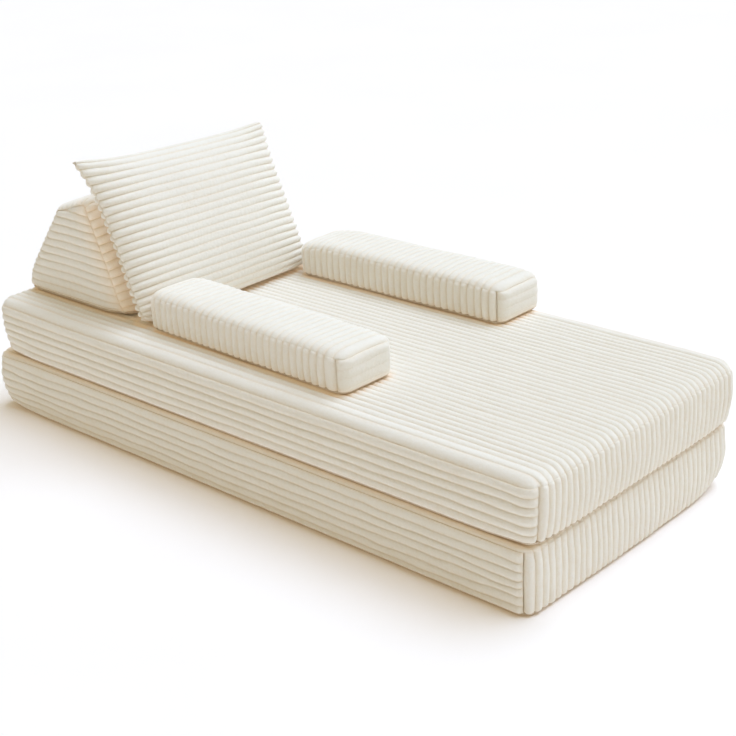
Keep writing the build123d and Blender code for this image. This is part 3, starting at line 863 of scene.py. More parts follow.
def slab_dent(pressed):
    def dent(b, P):
        x, y, z = P[..., 0].copy(), P[..., 1].copy(), P[..., 2].copy()
        pull_x, pull_y = corner_pull(b, x, y, z, 0.0055 if pressed == "upper" else 0.0035, 0.008)
        h = z / b.H
        near_corner = smooth((np.abs(x) - (b.a - 0.16)) / 0.16) * smooth((np.abs(y) - (b.b - 0.16)) / 0.16)
        if pressed == "upper":
            z = z - crown_drop(x, y, b.a, b.b, b.seed) * h * smooth(h * 1.3 - 0.3)
        else:
            z = z - 0.0010 * smooth(h * 1.3 - 0.3)
        # sides swell between the seams, less towards the corners
        belly = 4 * h * (1 - h)
        side = np.clip((np.abs(x) - (b.a - b.R)) / b.R, 0, 1)
        end = np.clip((np.abs(y) - (b.b - b.R)) / b.R, 0, 1)
        bx, by = b.bulge
        long_x = 1 - 0.5 * smooth((np.abs(y) - (b.b - 0.30)) / 0.30)
        long_y = 1 - 0.5 * smooth((np.abs(x) - (b.a - 0.25)) / 0.25)
        ripple = 0.0016 * noise2(y / 0.24 + 3, z / 0.09, b.seed + 51)
        sx = np.where(x < 0, bx[0], bx[1])
        outx = sx * belly * long_x + np.where(x < 0, ripple, 0.3 * ripple - 0.0008) * belly
        ripple = 0.0022 * noise2(x / 0.20 + 8, z / 0.07, b.seed + 52)
        outy = by * belly * long_y + ripple * belly
        if pressed == "upper":
            # the slab draws in towards the crease, most at its corners
            draw = np.clip(1 - h / 0.55, 0, 1) ** 1.6
            outx = outx - np.where(x < 0, 0.003 + 0.010 * near_corner, 0.009 * near_corner) * draw
            outy = outy - (0.003 + 0.010 * near_corner) * draw
            outy = outy + 0.004 * near_corner * (x > 0) * (y < 0) * belly
        else:
            # pressed out under the upper slab, tucked in at the floor at the far foot corner
            low = np.clip(1 - h / 0.6, 0, 1) ** 1.5
            foot_far = near_corner * (x > 0) * (y < 0)
            head_near = near_corner * (x < 0) * (y > 0)
            outx = outx + (0.006 + 0.007 * belly) * head_near - (0.018 * foot_far + 0.012 * head_near) * low
            outy = outy + (0.006 + 0.007 * belly) * head_near - (0.014 * foot_far + 0.011 * head_near) * low
            outy = outy + 0.004 * foot_far * belly
            outx = outx + np.where(x < 0, 0.0035 * smooth((1 - h) / 0.4), 0.0)
            z = z + (0.019 * foot_far**1.5 + 0.012 * head_near**1.5) * (1 - h) ** 2
            outy = outy + 0.0065 * (1 - (x / b.a) ** 2) * np.clip(1 - h, 0, 1) ** 0.7 * (y < 0)
        x = x + np.sign(x) * side * outx + pull_x
        y = y + np.sign(y) * end * outy + pull_y
        return np.stack([x, y, z], -1)

    return dent


def arm_dent(b, P):
    """b's x runs along the arm here."""
    x, y, z = P[..., 0].copy(), P[..., 1].copy(), P[..., 2].copy()
    pull_x, pull_y = corner_pull(b, x, y, z, 0.0035, 0.007)
    h = np.clip(z / b.H, 0, 1)
    ex, ey = np.clip((b.a - np.abs(x)) / 0.10, 0, 1), np.clip((b.b - np.abs(y)) / 0.07, 0, 1)
    crown = (1 - ex) ** 2 + (1 - ey) ** 2
    top = smooth(h * 1.4 - 0.4)
    z = z + (0.0025 - 0.0050 * np.clip(crown, 0, 1.3) + 0.0012 * noise2(x / 0.12, y / 0.07, b.seed + 54)) * top
    if b.prefix == "left_arm":
        z = z - 0.010 * smooth((x - 0.24) / 0.12) * top
    belly = (4 * h * (1 - h)) ** 0.8
    side = np.clip((np.abs(x) - (b.a - b.R)) / b.R, 0, 1)
    end = np.clip((np.abs(y) - (b.b - b.R)) / b.R, 0, 1)
    x = x + np.sign(x) * side * 0.0045 * belly + pull_x
    y = y + np.sign(y) * end * belly * (0.0045 * (1 - 0.4 * smooth((np.abs(x) - (b.a - 0.12)) / 0.12)) + 0.001 * noise2(x / 0.15, z / 0.05, b.seed + 52)) + pull_y
    # it settles on the slab under it
    c, s = math.cos(b.turn), math.sin(b.turn)
    fall = slab_fall(b.origin[0] + c * x - s * y, b.origin[1] + s * x + c * y)
    z = z - 0.0065 * (1 - np.exp(-fall / 0.0065)) * (1 - 0.35 * h)
    return np.stack([x, y, z], -1)


mm = 0.001
UPPER_G = np.array([-379, -356, -334.5, -314, -293.5] + list(np.linspace(-273, 379, 34))) * mm
LOWER_G = np.array([-387, -360, -338, -315, -292, -269, -246, -225, -205] + list(np.linspace(-184, 379, 28))) * mm
rng = np.random.RandomState(5)
UPPER_G = UPPER_G + rng.uniform(-0.8, 0.8, len(UPPER_G)) * mm
LOWER_G = LOWER_G + rng.uniform(-1.2, 1.2, len(LOWER_G)) * mm

SLAB_NAMES = lambda p: {"x-": f"{p}_near_panel", "x+": f"{p}_far_panel", "y-": f"{p}_foot_panel", "y+": f"{p}_head_panel"}

lower = Block(
    "lower", "lower_slab", 0.815, 1.900, 0.169, 0.036, 0.011, 0.015, 0.0095, 0.005, (-0.001, 0.0085, 0.0), 0.0,
    slab_dent("lower"), SLAB_NAMES("lower"), LOWER_G, np.array([23.0, 45.0, 68.0, 90.0, 113.0, 135.0]) * mm,
    ((0.0055, 0.0), 0.0055), 0.0022, 0.12, 100, zip_at=(0.320, 0.0745, 0.024, "y+"), seams={"--": 60.5},
)
upper = Block(
    "upper", "upper_slab", 0.815, 1.900, 0.169, 0.043, 0.034, 0.015, 0.021, 0.006, (-0.001, -0.0085, 0.170), 0.0,
    slab_dent("upper"), SLAB_NAMES("upper"), UPPER_G, np.array([24.4, 47.5, 71.0, 94.5, 117.5]) * mm,
    ((0.0035, 0.0), 0.004), 0.0014, 0.35, 200, zip_at=(0.320, 0.069, 0.024, "y+"), seams={"--": 27.0},
)
for b in (lower, upper):
    b.zip_at = (b.zip_at[0], None, b.zip_at[2], b.zip_at[3])
    # the zip's height on the side, as a distance below the top seam
    arc = b.rt * (math.pi / 2 - b.ft)
    zip_z = (0.169 - 0.021 + 0.010) / 2
    b.zip_at = (b.zip_at[0], arc + (b.H - b.rt - zip_z), b.zip_at[2], b.zip_at[3])

ARM_G = np.linspace(-301.5, 330.5, 28)
ARM_G2 = np.linspace(-300.0, 315.0, 28)
ARM_G = (np.concatenate([[-330], ARM_G]) + rng.uniform(-0.9, 0.9, 29)) * mm
ARM_G2 = (np.concatenate([[-325], ARM_G2, [338.5]]) + rng.uniform(-0.9, 0.9, 30)) * mm
turn = math.radians(90)
right_arm = Block(
    "right_arm", "right_arm", 0.724, 0.178, 0.106, 0.034, 0.024, 0.012, 0.012, 0.004,
    (-0.2365, 0.0065, 0.3395), turn - math.radians(1.6), arm_dent,
    # after a quarter turn the block's +x is the row's +Y and its +y is the row's -X
    {"y+": "right_arm_outer_panel", "y-": "right_arm_inner_panel", "x-": "right_arm_foot_end_panel", "x+": "right_arm_head_end_panel"},
    ARM_G, np.array([27.0, 52.0, 75.0]) * mm, ((0, 0), 0), 0.0012, 0.3, 300, zip_at=(0.230, None, 0.024, "y-"), rib=0.0038, seams={"-+": 20.0},
)
left_arm = Block(
    "left_arm", "left_arm", 0.724, 0.178, 0.106, 0.034, 0.024, 0.012, 0.012, 0.004,
    (0.3165, -0.0100, 0.3395), turn + math.radians(0.5), arm_dent,
    {"y+": "left_arm_inner_panel", "y-": "left_arm_outer_panel", "x-": "left_arm_foot_end_panel", "x+": "left_arm_head_end_panel"},
    ARM_G2, np.array([27.0, 52.0, 75.0]) * mm, ((0, 0), 0), 0.0012, 0.3, 400, zip_at=(0.230, None, 0.024, "y-"), rib=0.0038, seams={"-+": 35.0},
)
for b in (right_arm, left_arm):
    arc = b.rt * (math.pi / 2 - b.ft)
    zip_z = (0.106 - 0.012 + 0.010) / 2
    b.zip_at = (b.zip_at[0], arc + (b.H - b.rt - zip_z), b.zip_at[2], b.zip_at[3])

for b in (lower, upper, right_arm, left_arm):
    b.caps(UNDER, "underside_cloth")
    for face in ("x-", "x+", "y-", "y+"):
        b.side(face)
    b.core()


# =========================================================================================================
# Wedge back block: its section (y, height over its base) is run along x, with soft rolled ends
# =========================================================================================================
WEDGE_Z = 0.3395
WEDGE_HALF = 0.312
WEDGE_MID = (0.0, 0.70, WEDGE_Z + 0.12)
ROLL_R = 0.032
ROLL_S = math.radians(68)


def filleted(points, radii, step=0.001):
    """A closed outline with round corners, as dense points, outward normals and lengths. points run clockwise in (y, h)
    from the front base corner up the front."""
    pts = [np.array(p, float) for p in points]
    n = len(pts)
    out = []
    for i in range(n):
        p, a, b = pts[i], pts[i - 1], pts[(i + 1) % n]
        ua, ub = (a - p) / np.linalg.norm(a - p), (b - p) / np.linalg.norm(b - p)
        half = math.acos(np.clip(ua @ ub, -1, 1)) / 2
        cut = radii[i] / math.tan(half)
        centre = p + (ua + ub) / np.linalg.norm(ua + ub) * radii[i] / math.sin(half)
        start, end = p + ua * cut, p + ub * cut
        t0 = math.atan2(*(start - centre)[::-1])
        t1 = math.atan2(*(end - centre)[::-1])
        d = (t1 - t0 + math.pi) % (2 * math.pi) - math.pi
        m = max(3, int(abs(d) * radii[i] / step))
        for f in np.linspace(0, 1, m):
            out.append(centre + radii[i] * np.array([math.cos(t0 + d * f), math.sin(t0 + d * f)]))
    out = np.array(out)
    dense = []
    for i in range(len(out)):
        a, b = out[i], out[(i + 1) % len(out)]
        k = max(1, int(np.linalg.norm(b - a) / step))
        for j in range(k):
            dense.append(a + (b - a) * j / k)
    dense = np.array(dense)
    tangent = np.roll(dense, -1, 0) - np.roll(dense, 1, 0)
    tangent /= np.linalg.norm(tangent, axis=1, keepdims=True)
    normal = np.stack([-tangent[:, 1], tangent[:, 0]], -1)  # outward for this direction of travel
    w = 7
    normal = sum(np.roll(normal, k, 0) for k in range(-w, w + 1))
    normal /= np.linalg.norm(normal, axis=1, keepdims=True)
    length = np.concatenate([[0], np.cumsum(np.linalg.norm(np.diff(dense, axis=0), axis=1))])
    return dense, normal, length


WEDGE_PTS = [(0.4595, 0.0), (0.5930, 0.3200), (0.7390, 0.2730), (0.9290, 0.0390), (0.9170, 0.0)]
outline, out_n, out_s = filleted(WEDGE_PTS, [0.014, 0.034, 0.042, 0.036, 0.014])
# start at the front base seam
first = int(np.argmin(np.abs(outline[:, 1] - 0.006) + 10 * (outline[:, 0] > 0.55)))
outline, out_n = np.roll(outline, -first, 0), np.roll(out_n, -first, 0)
out_s = np.concatenate([[0], np.cumsum(np.linalg.norm(np.diff(outline, axis=0), axis=1))])
back_i = int(np.argmin(np.abs(outline[:, 1] - 0.006) + 10 * (outline[:, 0] < 0.8)))
S_WRAP, S_ALL = out_s[back_i], out_s[-1]


def on_outline(s):
    s = np.clip(s, 0, S_ALL)
    p = np.stack([np.interp(s, out_s, outline[:, k]) for k in (0, 1)], -1)
    n = np.stack([np.interp(s, out_s, out_n[:, k]) for k in (0, 1)], -1)
    return p, n / np.linalg.norm(n, axis=-1, keepdims=True)


def roll_angle(n):
    """How far round its rolled edge the end seam lies, from the outline's outward normals."""
    parts = [(np.maximum(-n[..., 0], 0) ** 2, 68.0), (np.maximum(n[..., 0], 0) ** 2, 36.0), (np.maximum(n[..., 1], 0) ** 2 * 0.8, 56.0), (np.maximum(-n[..., 1], 0) ** 2, 60.0)]
    total = sum(w for w, _ in parts)
    return np.radians(sum(w * d for w, d in parts) / total)


def roll_share(h):
    """The ends roll in fully up the cushion and only a little along its base."""
    return 0.45 + 0.55 * smooth(h / 0.05)


def wedge_settle(x, y, h):
    """Lets the finished wedge down on the slab, and rounds its front base corners up and in."""
    qx = np.clip((np.abs(x) - 0.235) / 0.075, 0, 1)
    qy = np.clip((0.565 - y) / 0.085, 0, 1)
    low = np.clip(1 - h / 0.11, 0, 1)
    tuck = smooth(qx) * smooth(qy) * low**1.4
    y = y + 0.020 * tuck
    x = x - np.sign(x) * 0.010 * tuck
    h = h + 0.003 * smooth(qx) * smooth(qy) * np.clip(1 - h / 0.05, 0, 1)
    # the back base corners draw in a little too
    qb = np.clip((y - 0.840) / 0.075, 0, 1)
    tuck = smooth(qx) * smooth(qb) * low**1.4
    y, x = y - 0.008 * tuck, x - np.sign(x) * 0.006 * tuck
    return x, y, h - slab_fall(x, y) * (1 - 0.7 * np.clip(h / 0.3, 0, 1))


def wedge_skin(s, w, firm=0.0):
    """Point of the wrap or base panel at outline length s and pattern place w across."""
    flat = WEDGE_HALF - ROLL_R
    p, n = on_outline(s)
    w = w / (flat + ROLL_R * ROLL_S) * (flat + ROLL_R * roll_angle(n))
    phi = np.clip((np.abs(w) - flat) / ROLL_R, 0, ROLL_S)
    x = np.sign(w) * (np.minimum(np.abs(w), flat) + ROLL_R * np.sin(phi))
    inset = ROLL_R * (1 - np.cos(phi)) * roll_share(p[..., 1])
    # faces swell a little between the corners of the section
    face = np.clip((p[..., 1] - 0.02) / 0.12, 0, 1)
    swell = 0.0035 * np.cos(np.clip(np.abs(w) / WEDGE_HALF, 0, 1) * math.pi / 2) * face
    swell = swell * np.where(n[..., 0] < -0.5, 0.35, 1.0)
    sag = 0.0025 * noise2(w / 0.16, s / 0.13, 71) * face * np.where(n[..., 0] < -0.5, 0.3, 1.0)
    rim = smooth((flat + 0.012 - np.abs(w)) / 0.05)
    give = (swell + sag) * rim * (1 - firm) - inset
    y = p[..., 0] + n[..., 0] * give
    h = p[..., 1] + n[..., 1] * give
    sx, sy, sh = wedge_settle(x, y, h)
    x, y, h = (a + (b - a) * (1 - firm) for a, b in ((x, sx), (y, sy), (h, sh)))
    y, h = y - n[..., 0] * 0.0047 * firm, h - n[..., 1] * 0.0047 * firm  # the zip draws the back in
    return np.stack([x, y, h + WEDGE_Z], -1)


def wedge_wrap():
    half = WEDGE_HALF - ROLL_R + ROLL_R * ROLL_S
    count = int(round(S_WRAP / 0.0234))
    g = np.linspace(0, S_WRAP, count + 1)
    k, u = rib_columns(g)
    rows = stepped(-half, half, 0.009)
    zip_s = out_s[int(np.argmin(np.hypot(outline[:, 0] - 0.8715, outline[:, 1] - 0.1028)))]
    zip_half, zip_w = 0.230, 0.024
    # the panel narrows where its ends roll in less, so the zip's place is measured across the finished cushion
    across = lambda n: (WEDGE_HALF - ROLL_R + ROLL_R * roll_angle(n)) / half
    narrow = float(across(on_outline(np.array([zip_s]))[1])[0])
    extra = np.concatenate([sg * (zip_half + np.array([-0.0014, -0.0004, 0.0006, 0.0016, 0.0026])) / narrow for sg in (-1, 1)])
    rows = np.unique(np.round(np.concatenate([rows[np.min(np.abs(rows[:, None] - extra[None]), axis=1) > 0.0006], extra]), 6))
    w = rows[:, None]
    wob = 0.0011 * (noise2(w / 0.17 + 3, g[None, :] / 0.05, 72) + 0.6 * noise2(w / 0.06, g[None, :] / 0.017, 73))
    gs = g[None, :] + wob * np.clip(np.minimum(g, S_WRAP - g) / 0.02, 0, 1)[None, :]
    s = gs[:, k] + (gs[:, k + 1] - gs[:, k]) * u[None, :]
    w = np.broadcast_to(w, s.shape)
    wx = w * across(on_outline(s)[1])
    firm = smooth(1.25 - np.maximum(np.abs(wx) - zip_half, 0) / 0.05) * smooth(1.35 - np.maximum(np.abs(s - zip_s) - zip_w / 2, 0) / 0.024)
    P = wedge_skin(s, w, firm)
    height = rib_height(u)[None, :] * capsule(half - np.abs(w), 0.010)
    height = height * (1 + 0.10 * noise2(k[None, :] * 0.83, w / 0.09, 74) + 0.06 * noise2(k[None, :] * 1.7, w / 0.03, 75))
    height = np.clip(height, 0, 1.15)
    d = np.maximum(np.abs(wx) - zip_half, np.abs(s - zip_s) - zip_w / 2)
    dent = smooth((0.0022 - d) / 0.0034)
    height = height * (1 - dent)
    panel_object("wedge_wrap_panel", P, height, RIB, PLUSH, "wedge", "plush", 0.8, WEDGE_MID, strides=(4, 10), extra=-dent * (0.0078 - RIB))


def wedge_base():
    half = WEDGE_HALF - ROLL_R + ROLL_R * ROLL_S
    g = np.linspace(S_WRAP, S_ALL, 14)
    k, u = rib_columns(g)
    rows = stepped(-half, half, 0.012)
    w = rows[:, None]
    s = g[k] + (g[k + 1] - g[k]) * u
    s, w = np.broadcast_arrays(s[None, :], w)
    P = wedge_skin(s, w)
    e = np.minimum(half - np.abs(w), np.minimum(s - S_WRAP, S_ALL - s))
    height = 1 - 0.8 * (1 - capsule(e, 0.009))
    panel_object("wedge_base_panel", P, height, 0.004, UNDER, "wedge", "underside_cloth", 0.8, WEDGE_MID, under=0.0085, strides=(2, 10))


def wedge_end(side, name, seed):
    """side -1 is the right end, at -x."""
    p, n = outline, out_n
    roll = roll_angle(n)
    inset = ROLL_R * (1 - np.cos(roll)) * roll_share(p[:, 1])
    edge = p - n * inset[:, None]
    h_lo, h_hi = edge[:, 1].min() + 0.0004, edge[:, 1].max() - 0.0006
    g = np.array([14.5, 37.5, 60.5, 84.0, 107.5, 130.5, 153, 176, 199, 222.5, 245.5, 267.5]) * mm
    g = np.concatenate([[h_lo], g[(g > h_lo + 0.006) & (g < h_hi - 0.012)], [h_hi]])
    k, u = rib_columns(g)
    last = len(g) - 2
    fine = np.linspace(0, 1, 46)[:-1]
    keep = k < last - 1
    k = np.concatenate([k[keep], np.full(45, last - 1), np.full(45, last), [last]])
    u = np.concatenate([u[keep], fine, fine, [1.0]])
    cols = stepped(0.0, 1.0, 0.014, 0.003)
    # spans of the panel at a height
    hs = np.linspace(h_lo, h_hi, 400)
    y_front, y_back = [], []
    top = int(np.argmax(edge[:, 1]))
    up_side = edge[: top + 1]
    order = np.argsort(edge[top:back_i + 1, 1])
    down = edge[top:back_i + 1][order]
    rest = edge[back_i:]
    y_front = np.interp(hs, np.maximum.accumulate(up_side[:, 1]), up_side[:, 0])
    y_back = np.interp(hs, down[:, 1], down[:, 0])
    # under the base seams both sides close in along the base's corners
    c = cols[None, :]
    yy = y_front[:, None]
    bow = 0.004 * np.sin(np.clip(c, 0, 1) * math.pi)
    base = g[:, None] + 0.0012 * (noise2(c * 2.3 + side, g[:, None] / 0.05, seed) + 0.7 * noise2(c * 6.1, g[:, None] / 0.017, seed + 1))
    base = base + bow * np.clip(np.minimum(g - h_lo, h_hi - g) / 0.03, 0, 1)[:, None]
    base[0], base[-1] = h_lo, h_hi
    h = base[k] + (base[k + 1] - base[k]) * u[:, None]
    h = np.clip(h, h_lo, h_hi)
    y = np.interp(h, hs, y_front) + (np.interp(h, hs, y_back) - np.interp(h, hs, y_front)) * c
    # distance to the seam
    seam_pts = edge[::4]
    q = np.stack([y, h], -1).reshape(-1, 1, 2)
    e, near = np.empty(q.shape[0]), np.empty(q.shape[0], int)
    for start in range(0, len(e), 4000):
        gap = np.linalg.norm(q[start:start + 4000] - seam_pts[None], axis=2)
        near[start:start + 4000] = np.argmin(gap, axis=1)
        e[start:start + 4000] = np.min(gap, axis=1)
    e = np.maximum(e.reshape(h.shape) - 0.0012, 0)
    turned = np.cos(roll[::4][near].reshape(h.shape))
    cosphi = np.clip(turned - e / ROLL_R, 0, 1)
    n_seam = n[::4][near].reshape(h.shape + (2,))
    N = np.stack([side * np.sqrt(1 - cosphi**2), n_seam[..., 0] * cosphi, n_seam[..., 1] * cosphi], -1)
    x = WEDGE_HALF - ROLL_R + ROLL_R * np.sqrt(1 - cosphi**2)
    x = x + 0.0065 * (1 - np.exp(-e / 0.04)) - 0.001
    x, y, h = wedge_settle(side * x, y, h)
    P = np.stack([x, y, h + WEDGE_Z], -1)
    height = rib_height(u)[:, None] * capsule(e, 0.014)
    height = height * (1 + 0.10 * noise2(k[:, None] * 0.83, y / 0.09, seed + 2) + 0.06 * noise2(k[:, None] * 1.7, y / 0.03, seed + 3))
    amp = RIB * (0.5 + 0.5 * np.exp(-e / 0.015))
    panel_object(name, P, np.clip(height, 0, 1.15), amp, PLUSH, "wedge", "plush", 0.8, WEDGE_MID, strides=(10, 4), normals=N)


def wedge_core():
    verts, faces = [], []
    n = len(outline[::14])
    ring, nn = outline[::14], out_n[::14]
    levels = [(-0.2935, 0.022), (-0.290, 0.014), (-0.280, 0.0108)] + [(x, 0.0104) for x in np.linspace(-0.25, 0.25, 9)] + [(0.280, 0.0108), (0.290, 0.014), (0.2935, 0.022)]
    for x, d in levels:
        q = ring - nn * (d + 0.005 * smooth((nn[:, :1] - 0.5) / 0.25))
        qx, qy, qh = wedge_settle(np.full(n, x), q[:, 0], q[:, 1])
        verts += [(float(a), float(b), float(c) + WEDGE_Z) for a, b, c in zip(qx, qy, np.maximum(qh, 0.0095))]
    for j in range(len(levels) - 1):
        for i in range(n):
            i2 = (i + 1) % n
            faces.append([j * n + i, j * n + i2, (j + 1) * n + i2, (j + 1) * n + i][::-1])
    for j, sgn in ((0, 1), (len(levels) - 1, -1)):
        prev = list(range(j * n, j * n + n))
        centre = np.mean([verts[i] for i in prev], axis=0)
        for f in (0.75, 0.5, 0.25):
            start = len(verts)
            verts += [tuple(centre + (np.array(verts[j * n + i]) - centre) * f) for i in range(n)]
            now = list(range(start, start + n))
            for i in range(n):
                i2 = (i + 1) % n
                quad = [prev[i], prev[i2], now[i2], now[i]]
                faces.append(quad if sgn < 0 else quad[::-1])
            prev = now
        faces.append(prev if sgn < 0 else prev[::-1])
    finish_object("wedge_foam_core", np.array(verts), faces, FOAM, "wedge", "foam", node="wedge_foam_core", fill=1.0)


wedge_wrap()
wedge_base()
wedge_end(-1, "wedge_right_end_panel", 81)
wedge_end(1, "wedge_left_end_panel", 85)
wedge_core()

# =========================================================================================================
# Back cushion: a plump leaning pillow with a seam all round its rim
# =========================================================================================================
PM = np.array([-0.012, 0.473476, 0.550661])
PU = np.array([0.0, 0.38502, 0.92291])
PO = np.array([0.0, -0.92291, 0.38502])
P_THICK = 0.060


def pillow_point(a, b, front, shrink=0.0):
    """a across from -1 to 1, b from the lower rim to the upper one."""
    ear = (np.abs(a) ** 5) * (np.abs(b) ** 5)
    top_left, top_right = (a < 0) & (b > 0), (a > 0) & (b > 0)
    # the outline in the cushion's plane
    side = 0.311 - 0.002 * (1 - b**2)
    x = a * side + np.sign(a) * ear * np.where(b > 0, np.where(a < 0, 0.027, 0.013), -0.002)
    x = x - 0.013 * np.clip(-a, 0, 1) ** 4 * np.clip(b, 0, 1) ** 3
    top = 0.2135 - 0.040 * a * 0.305 - 0.003 * (1 - a**2) + ear * np.where(a < 0, 0.024, 0.015)
    low = -0.2225 + 0.002 * (1 - a**2)
    v = low + (b + 1) / 2 * (top - low)
    x = x - 0.006 * (b + 1) / 2 * (1 - a**2)
    tip = np.abs(a) ** 14 * np.abs(b) ** 14  # the corners are turned round
    x, v = x - np.sign(a) * 0.014 * tip, v - np.sign(b) * 0.012 * tip
    f = np.clip(1 - np.abs(a) ** 3.4, 0, 1) ** 0.48
    up = np.clip(1 - np.abs(b) ** 3.0, 0, 1) ** 0.46
    down = np.clip(1 - np.abs(b) ** 3.6, 0, 1) ** 0.42
    g = np.where(b > 0, up, down)
    t = P_THICK * (f * g) ** (1 - 0.42 * a**4 * b**4) * (1 - 0.10 * b)
    t = t + 0.003 * noise2(a * 2.2 + 5, b * 1.9 + 2, 61 if front else 62) * f * g
    if not front:
        t = -t * 0.97
    # the lower roll gives towards the seat
    v = v - 0.010 * np.clip(-b, 0, 1) ** 6 * np.clip(t / 0.03, 0, 1) * (f if front else 0)
    x, v, t = x * (1 - shrink), v * (1 - shrink), t * (1 - 2.2 * shrink)
    P = PM + x[..., None] * np.array([1.0, 0, 0]) + v[..., None] * PU + t[..., None] * PO
    low_z = 0.3396 + 0.0006 * np.abs(noise2(x / 0.03, t / 0.02, 63))
    P[..., 2] = np.maximum(P[..., 2], low_z)
    return P


def by_length(curve, places):
    """The parameter values at equal shares of the curve's length. curve(t) gives points for t from -1 to 1."""
    t = np.sin(np.linspace(-math.pi / 2, math.pi / 2, 4001))
    p = curve(t)
    L = np.concatenate([[0], np.cumsum(np.linalg.norm(np.diff(p, axis=0), axis=1))])
    return np.interp(places * L[-1], L, t), L[-1]


def pillow_panel(front, name, seed):
    tall = lambda t: pillow_point(np.zeros_like(t), t, front)
    wide = lambda t: pillow_point(t, np.zeros_like(t), front)
    _, length = by_length(tall, np.array([0.0]))
    _, width = by_length(wide, np.array([0.0]))
    count = int(round(length / 0.0208))
    g = np.linspace(0, 1, count + 1)
    k, u = rib_columns(g)
    rows = stepped(0.0, 1.0, 0.009 / width, 0.0016 / width)
    zip_half = 0.210
    c = rows[:, None]
    wob = 0.0010 / length * (noise2(c * 4 + 3, g[None, :] * 11, seed) + 0.7 * noise2(c * 11, g[None, :] * 31, seed + 1))
    gs = g[None, :] + wob * np.clip(np.minimum(g, 1 - g) / 0.05, 0, 1)[None, :]
    share = gs[:, k] + (gs[:, k + 1] - gs[:, k]) * u[None, :]
    b, _ = by_length(tall, share.ravel())
    b = b.reshape(share.shape)
    a, _ = by_length(wide, rows)
    a = np.broadcast_to(a[:, None], b.shape)
    P = pillow_point(a, b, front)
    e_side = np.minimum(c, 1 - c) * width
    e_end = np.minimum(share, 1 - share) * length
    height = rib_height(u)[None, :] * capsule(e_side, 0.012)
    height = height * (1 + 0.10 * noise2(k[None, :] * 0.83, c * 7, seed + 2) + 0.06 * noise2(k[None, :] * 1.7, c * 21, seed + 3))
    height = np.clip(height, 0, 1.15)
    amp = (0.0014 + 0.0086 * np.abs(a) ** 3.2) * (0.55 + 0.45 * smooth(e_end / 0.03)) * np.ones_like(height)
    amp = amp * (1 - 0.95 * np.abs(a) ** 10 * np.abs(b) ** 10)
    # let in for the zip along the lower rim
    t_off = np.abs((P - PM) @ PO)
    x_off = np.abs(P[..., 0] - PM[0])
    d = np.maximum(x_off - zip_half, t_off - 0.006) + np.where(b < 0, 0, 1.0)
    dent = smooth((0.0018 - d) / 0.0036)
    height = height * (1 - dent)
    panel_object(name, P, height, amp, PLUSH, "back_cushion", "plush", 0.8, PM, strides=(4, 10),
                 extra=-dent * np.clip(0.0082 - amp, 0, 1), under=0.0085)


def pillow_insert():
    verts, faces = [], []
    n = 40
    t = np.sin(np.linspace(-math.pi / 2, math.pi / 2, n + 1))
    a, b = np.meshgrid(t, t)
    quilt = 0.0015 * np.cos(a * 14) * np.cos(b * 10)
    grids = []
    for front in (True, False):
        P = pillow_point(a * 0.998, b * 0.998, front, 0.045)
        P = P + (quilt * (1 - a**8) * (1 - b**8))[..., None] * PO * (1 if front else -1)
        grids.append(P)
    m = (n + 1) * (n + 1)
    idx = np.arange(m).reshape(n + 1, n + 1)
    quads = np.stack([idx[:-1, :-1], idx[:-1, 1:], idx[1:, 1:], idx[1:, :-1]], -1).reshape(-1, 4)
    back = quads[:, ::-1] + m
    rim = []
    loop = list(idx[0, :-1]) + list(idx[:-1, -1]) + list(idx[-1, :0:-1]) + list(idx[:0:-1, 0])
    for i in range(len(loop)):
        p, q = loop[i], loop[(i + 1) % len(loop)]
        rim.append([q, p, p + m, q + m])
    finish_object("pillow_insert", np.concatenate([g.reshape(-1, 3) for g in grids]), (np.concatenate([quads, back]), rim), FIBRE, "back_cushion", "fibre_fill", node="pillow_insert", fill=0.8)


pillow_panel(True, "pillow_front_panel", 64)
pillow_panel(False, "pillow_back_panel", 67)
pillow_insert()

# =========================================================================================================
# Hinge cloth: one canvas strip sewn to both slabs' far sides, free across the fold line
# =========================================================================================================
def closed_strip(outer, inner):
    """A closed mesh between two grids of the same size."""
    nr, nc = outer.shape[:2]
    verts = np.concatenate([outer.reshape(-1, 3), inner.reshape(-1, 3)])
    o = np.arange(nr * nc).reshape(nr, nc)
    i = o + nr * nc
    q = [
        np.stack([o[:-1, :-1], o[:-1, 1:], o[1:, 1:], o[1:, :-1]], -1).reshape(-1, 4),
        np.stack([i[:-1, :-1], i[1:, :-1], i[1:, 1:], i[:-1, 1:]], -1).reshape(-1, 4),
        np.stack([i[0, :-1], i[0, 1:], o[0, 1:], o[0, :-1]], -1),
        np.stack([i[-1, 1:], i[-1, :-1], o[-1, :-1], o[-1, 1:]], -1),
        np.stack([i[1:, 0], i[:-1, 0], o[:-1, 0], o[1:, 0]], -1),
        np.stack([i[:-1, -1], i[1:, -1], o[1:, -1], o[:-1, -1]], -1),
    ]
    return verts, (np.concatenate(q), [])


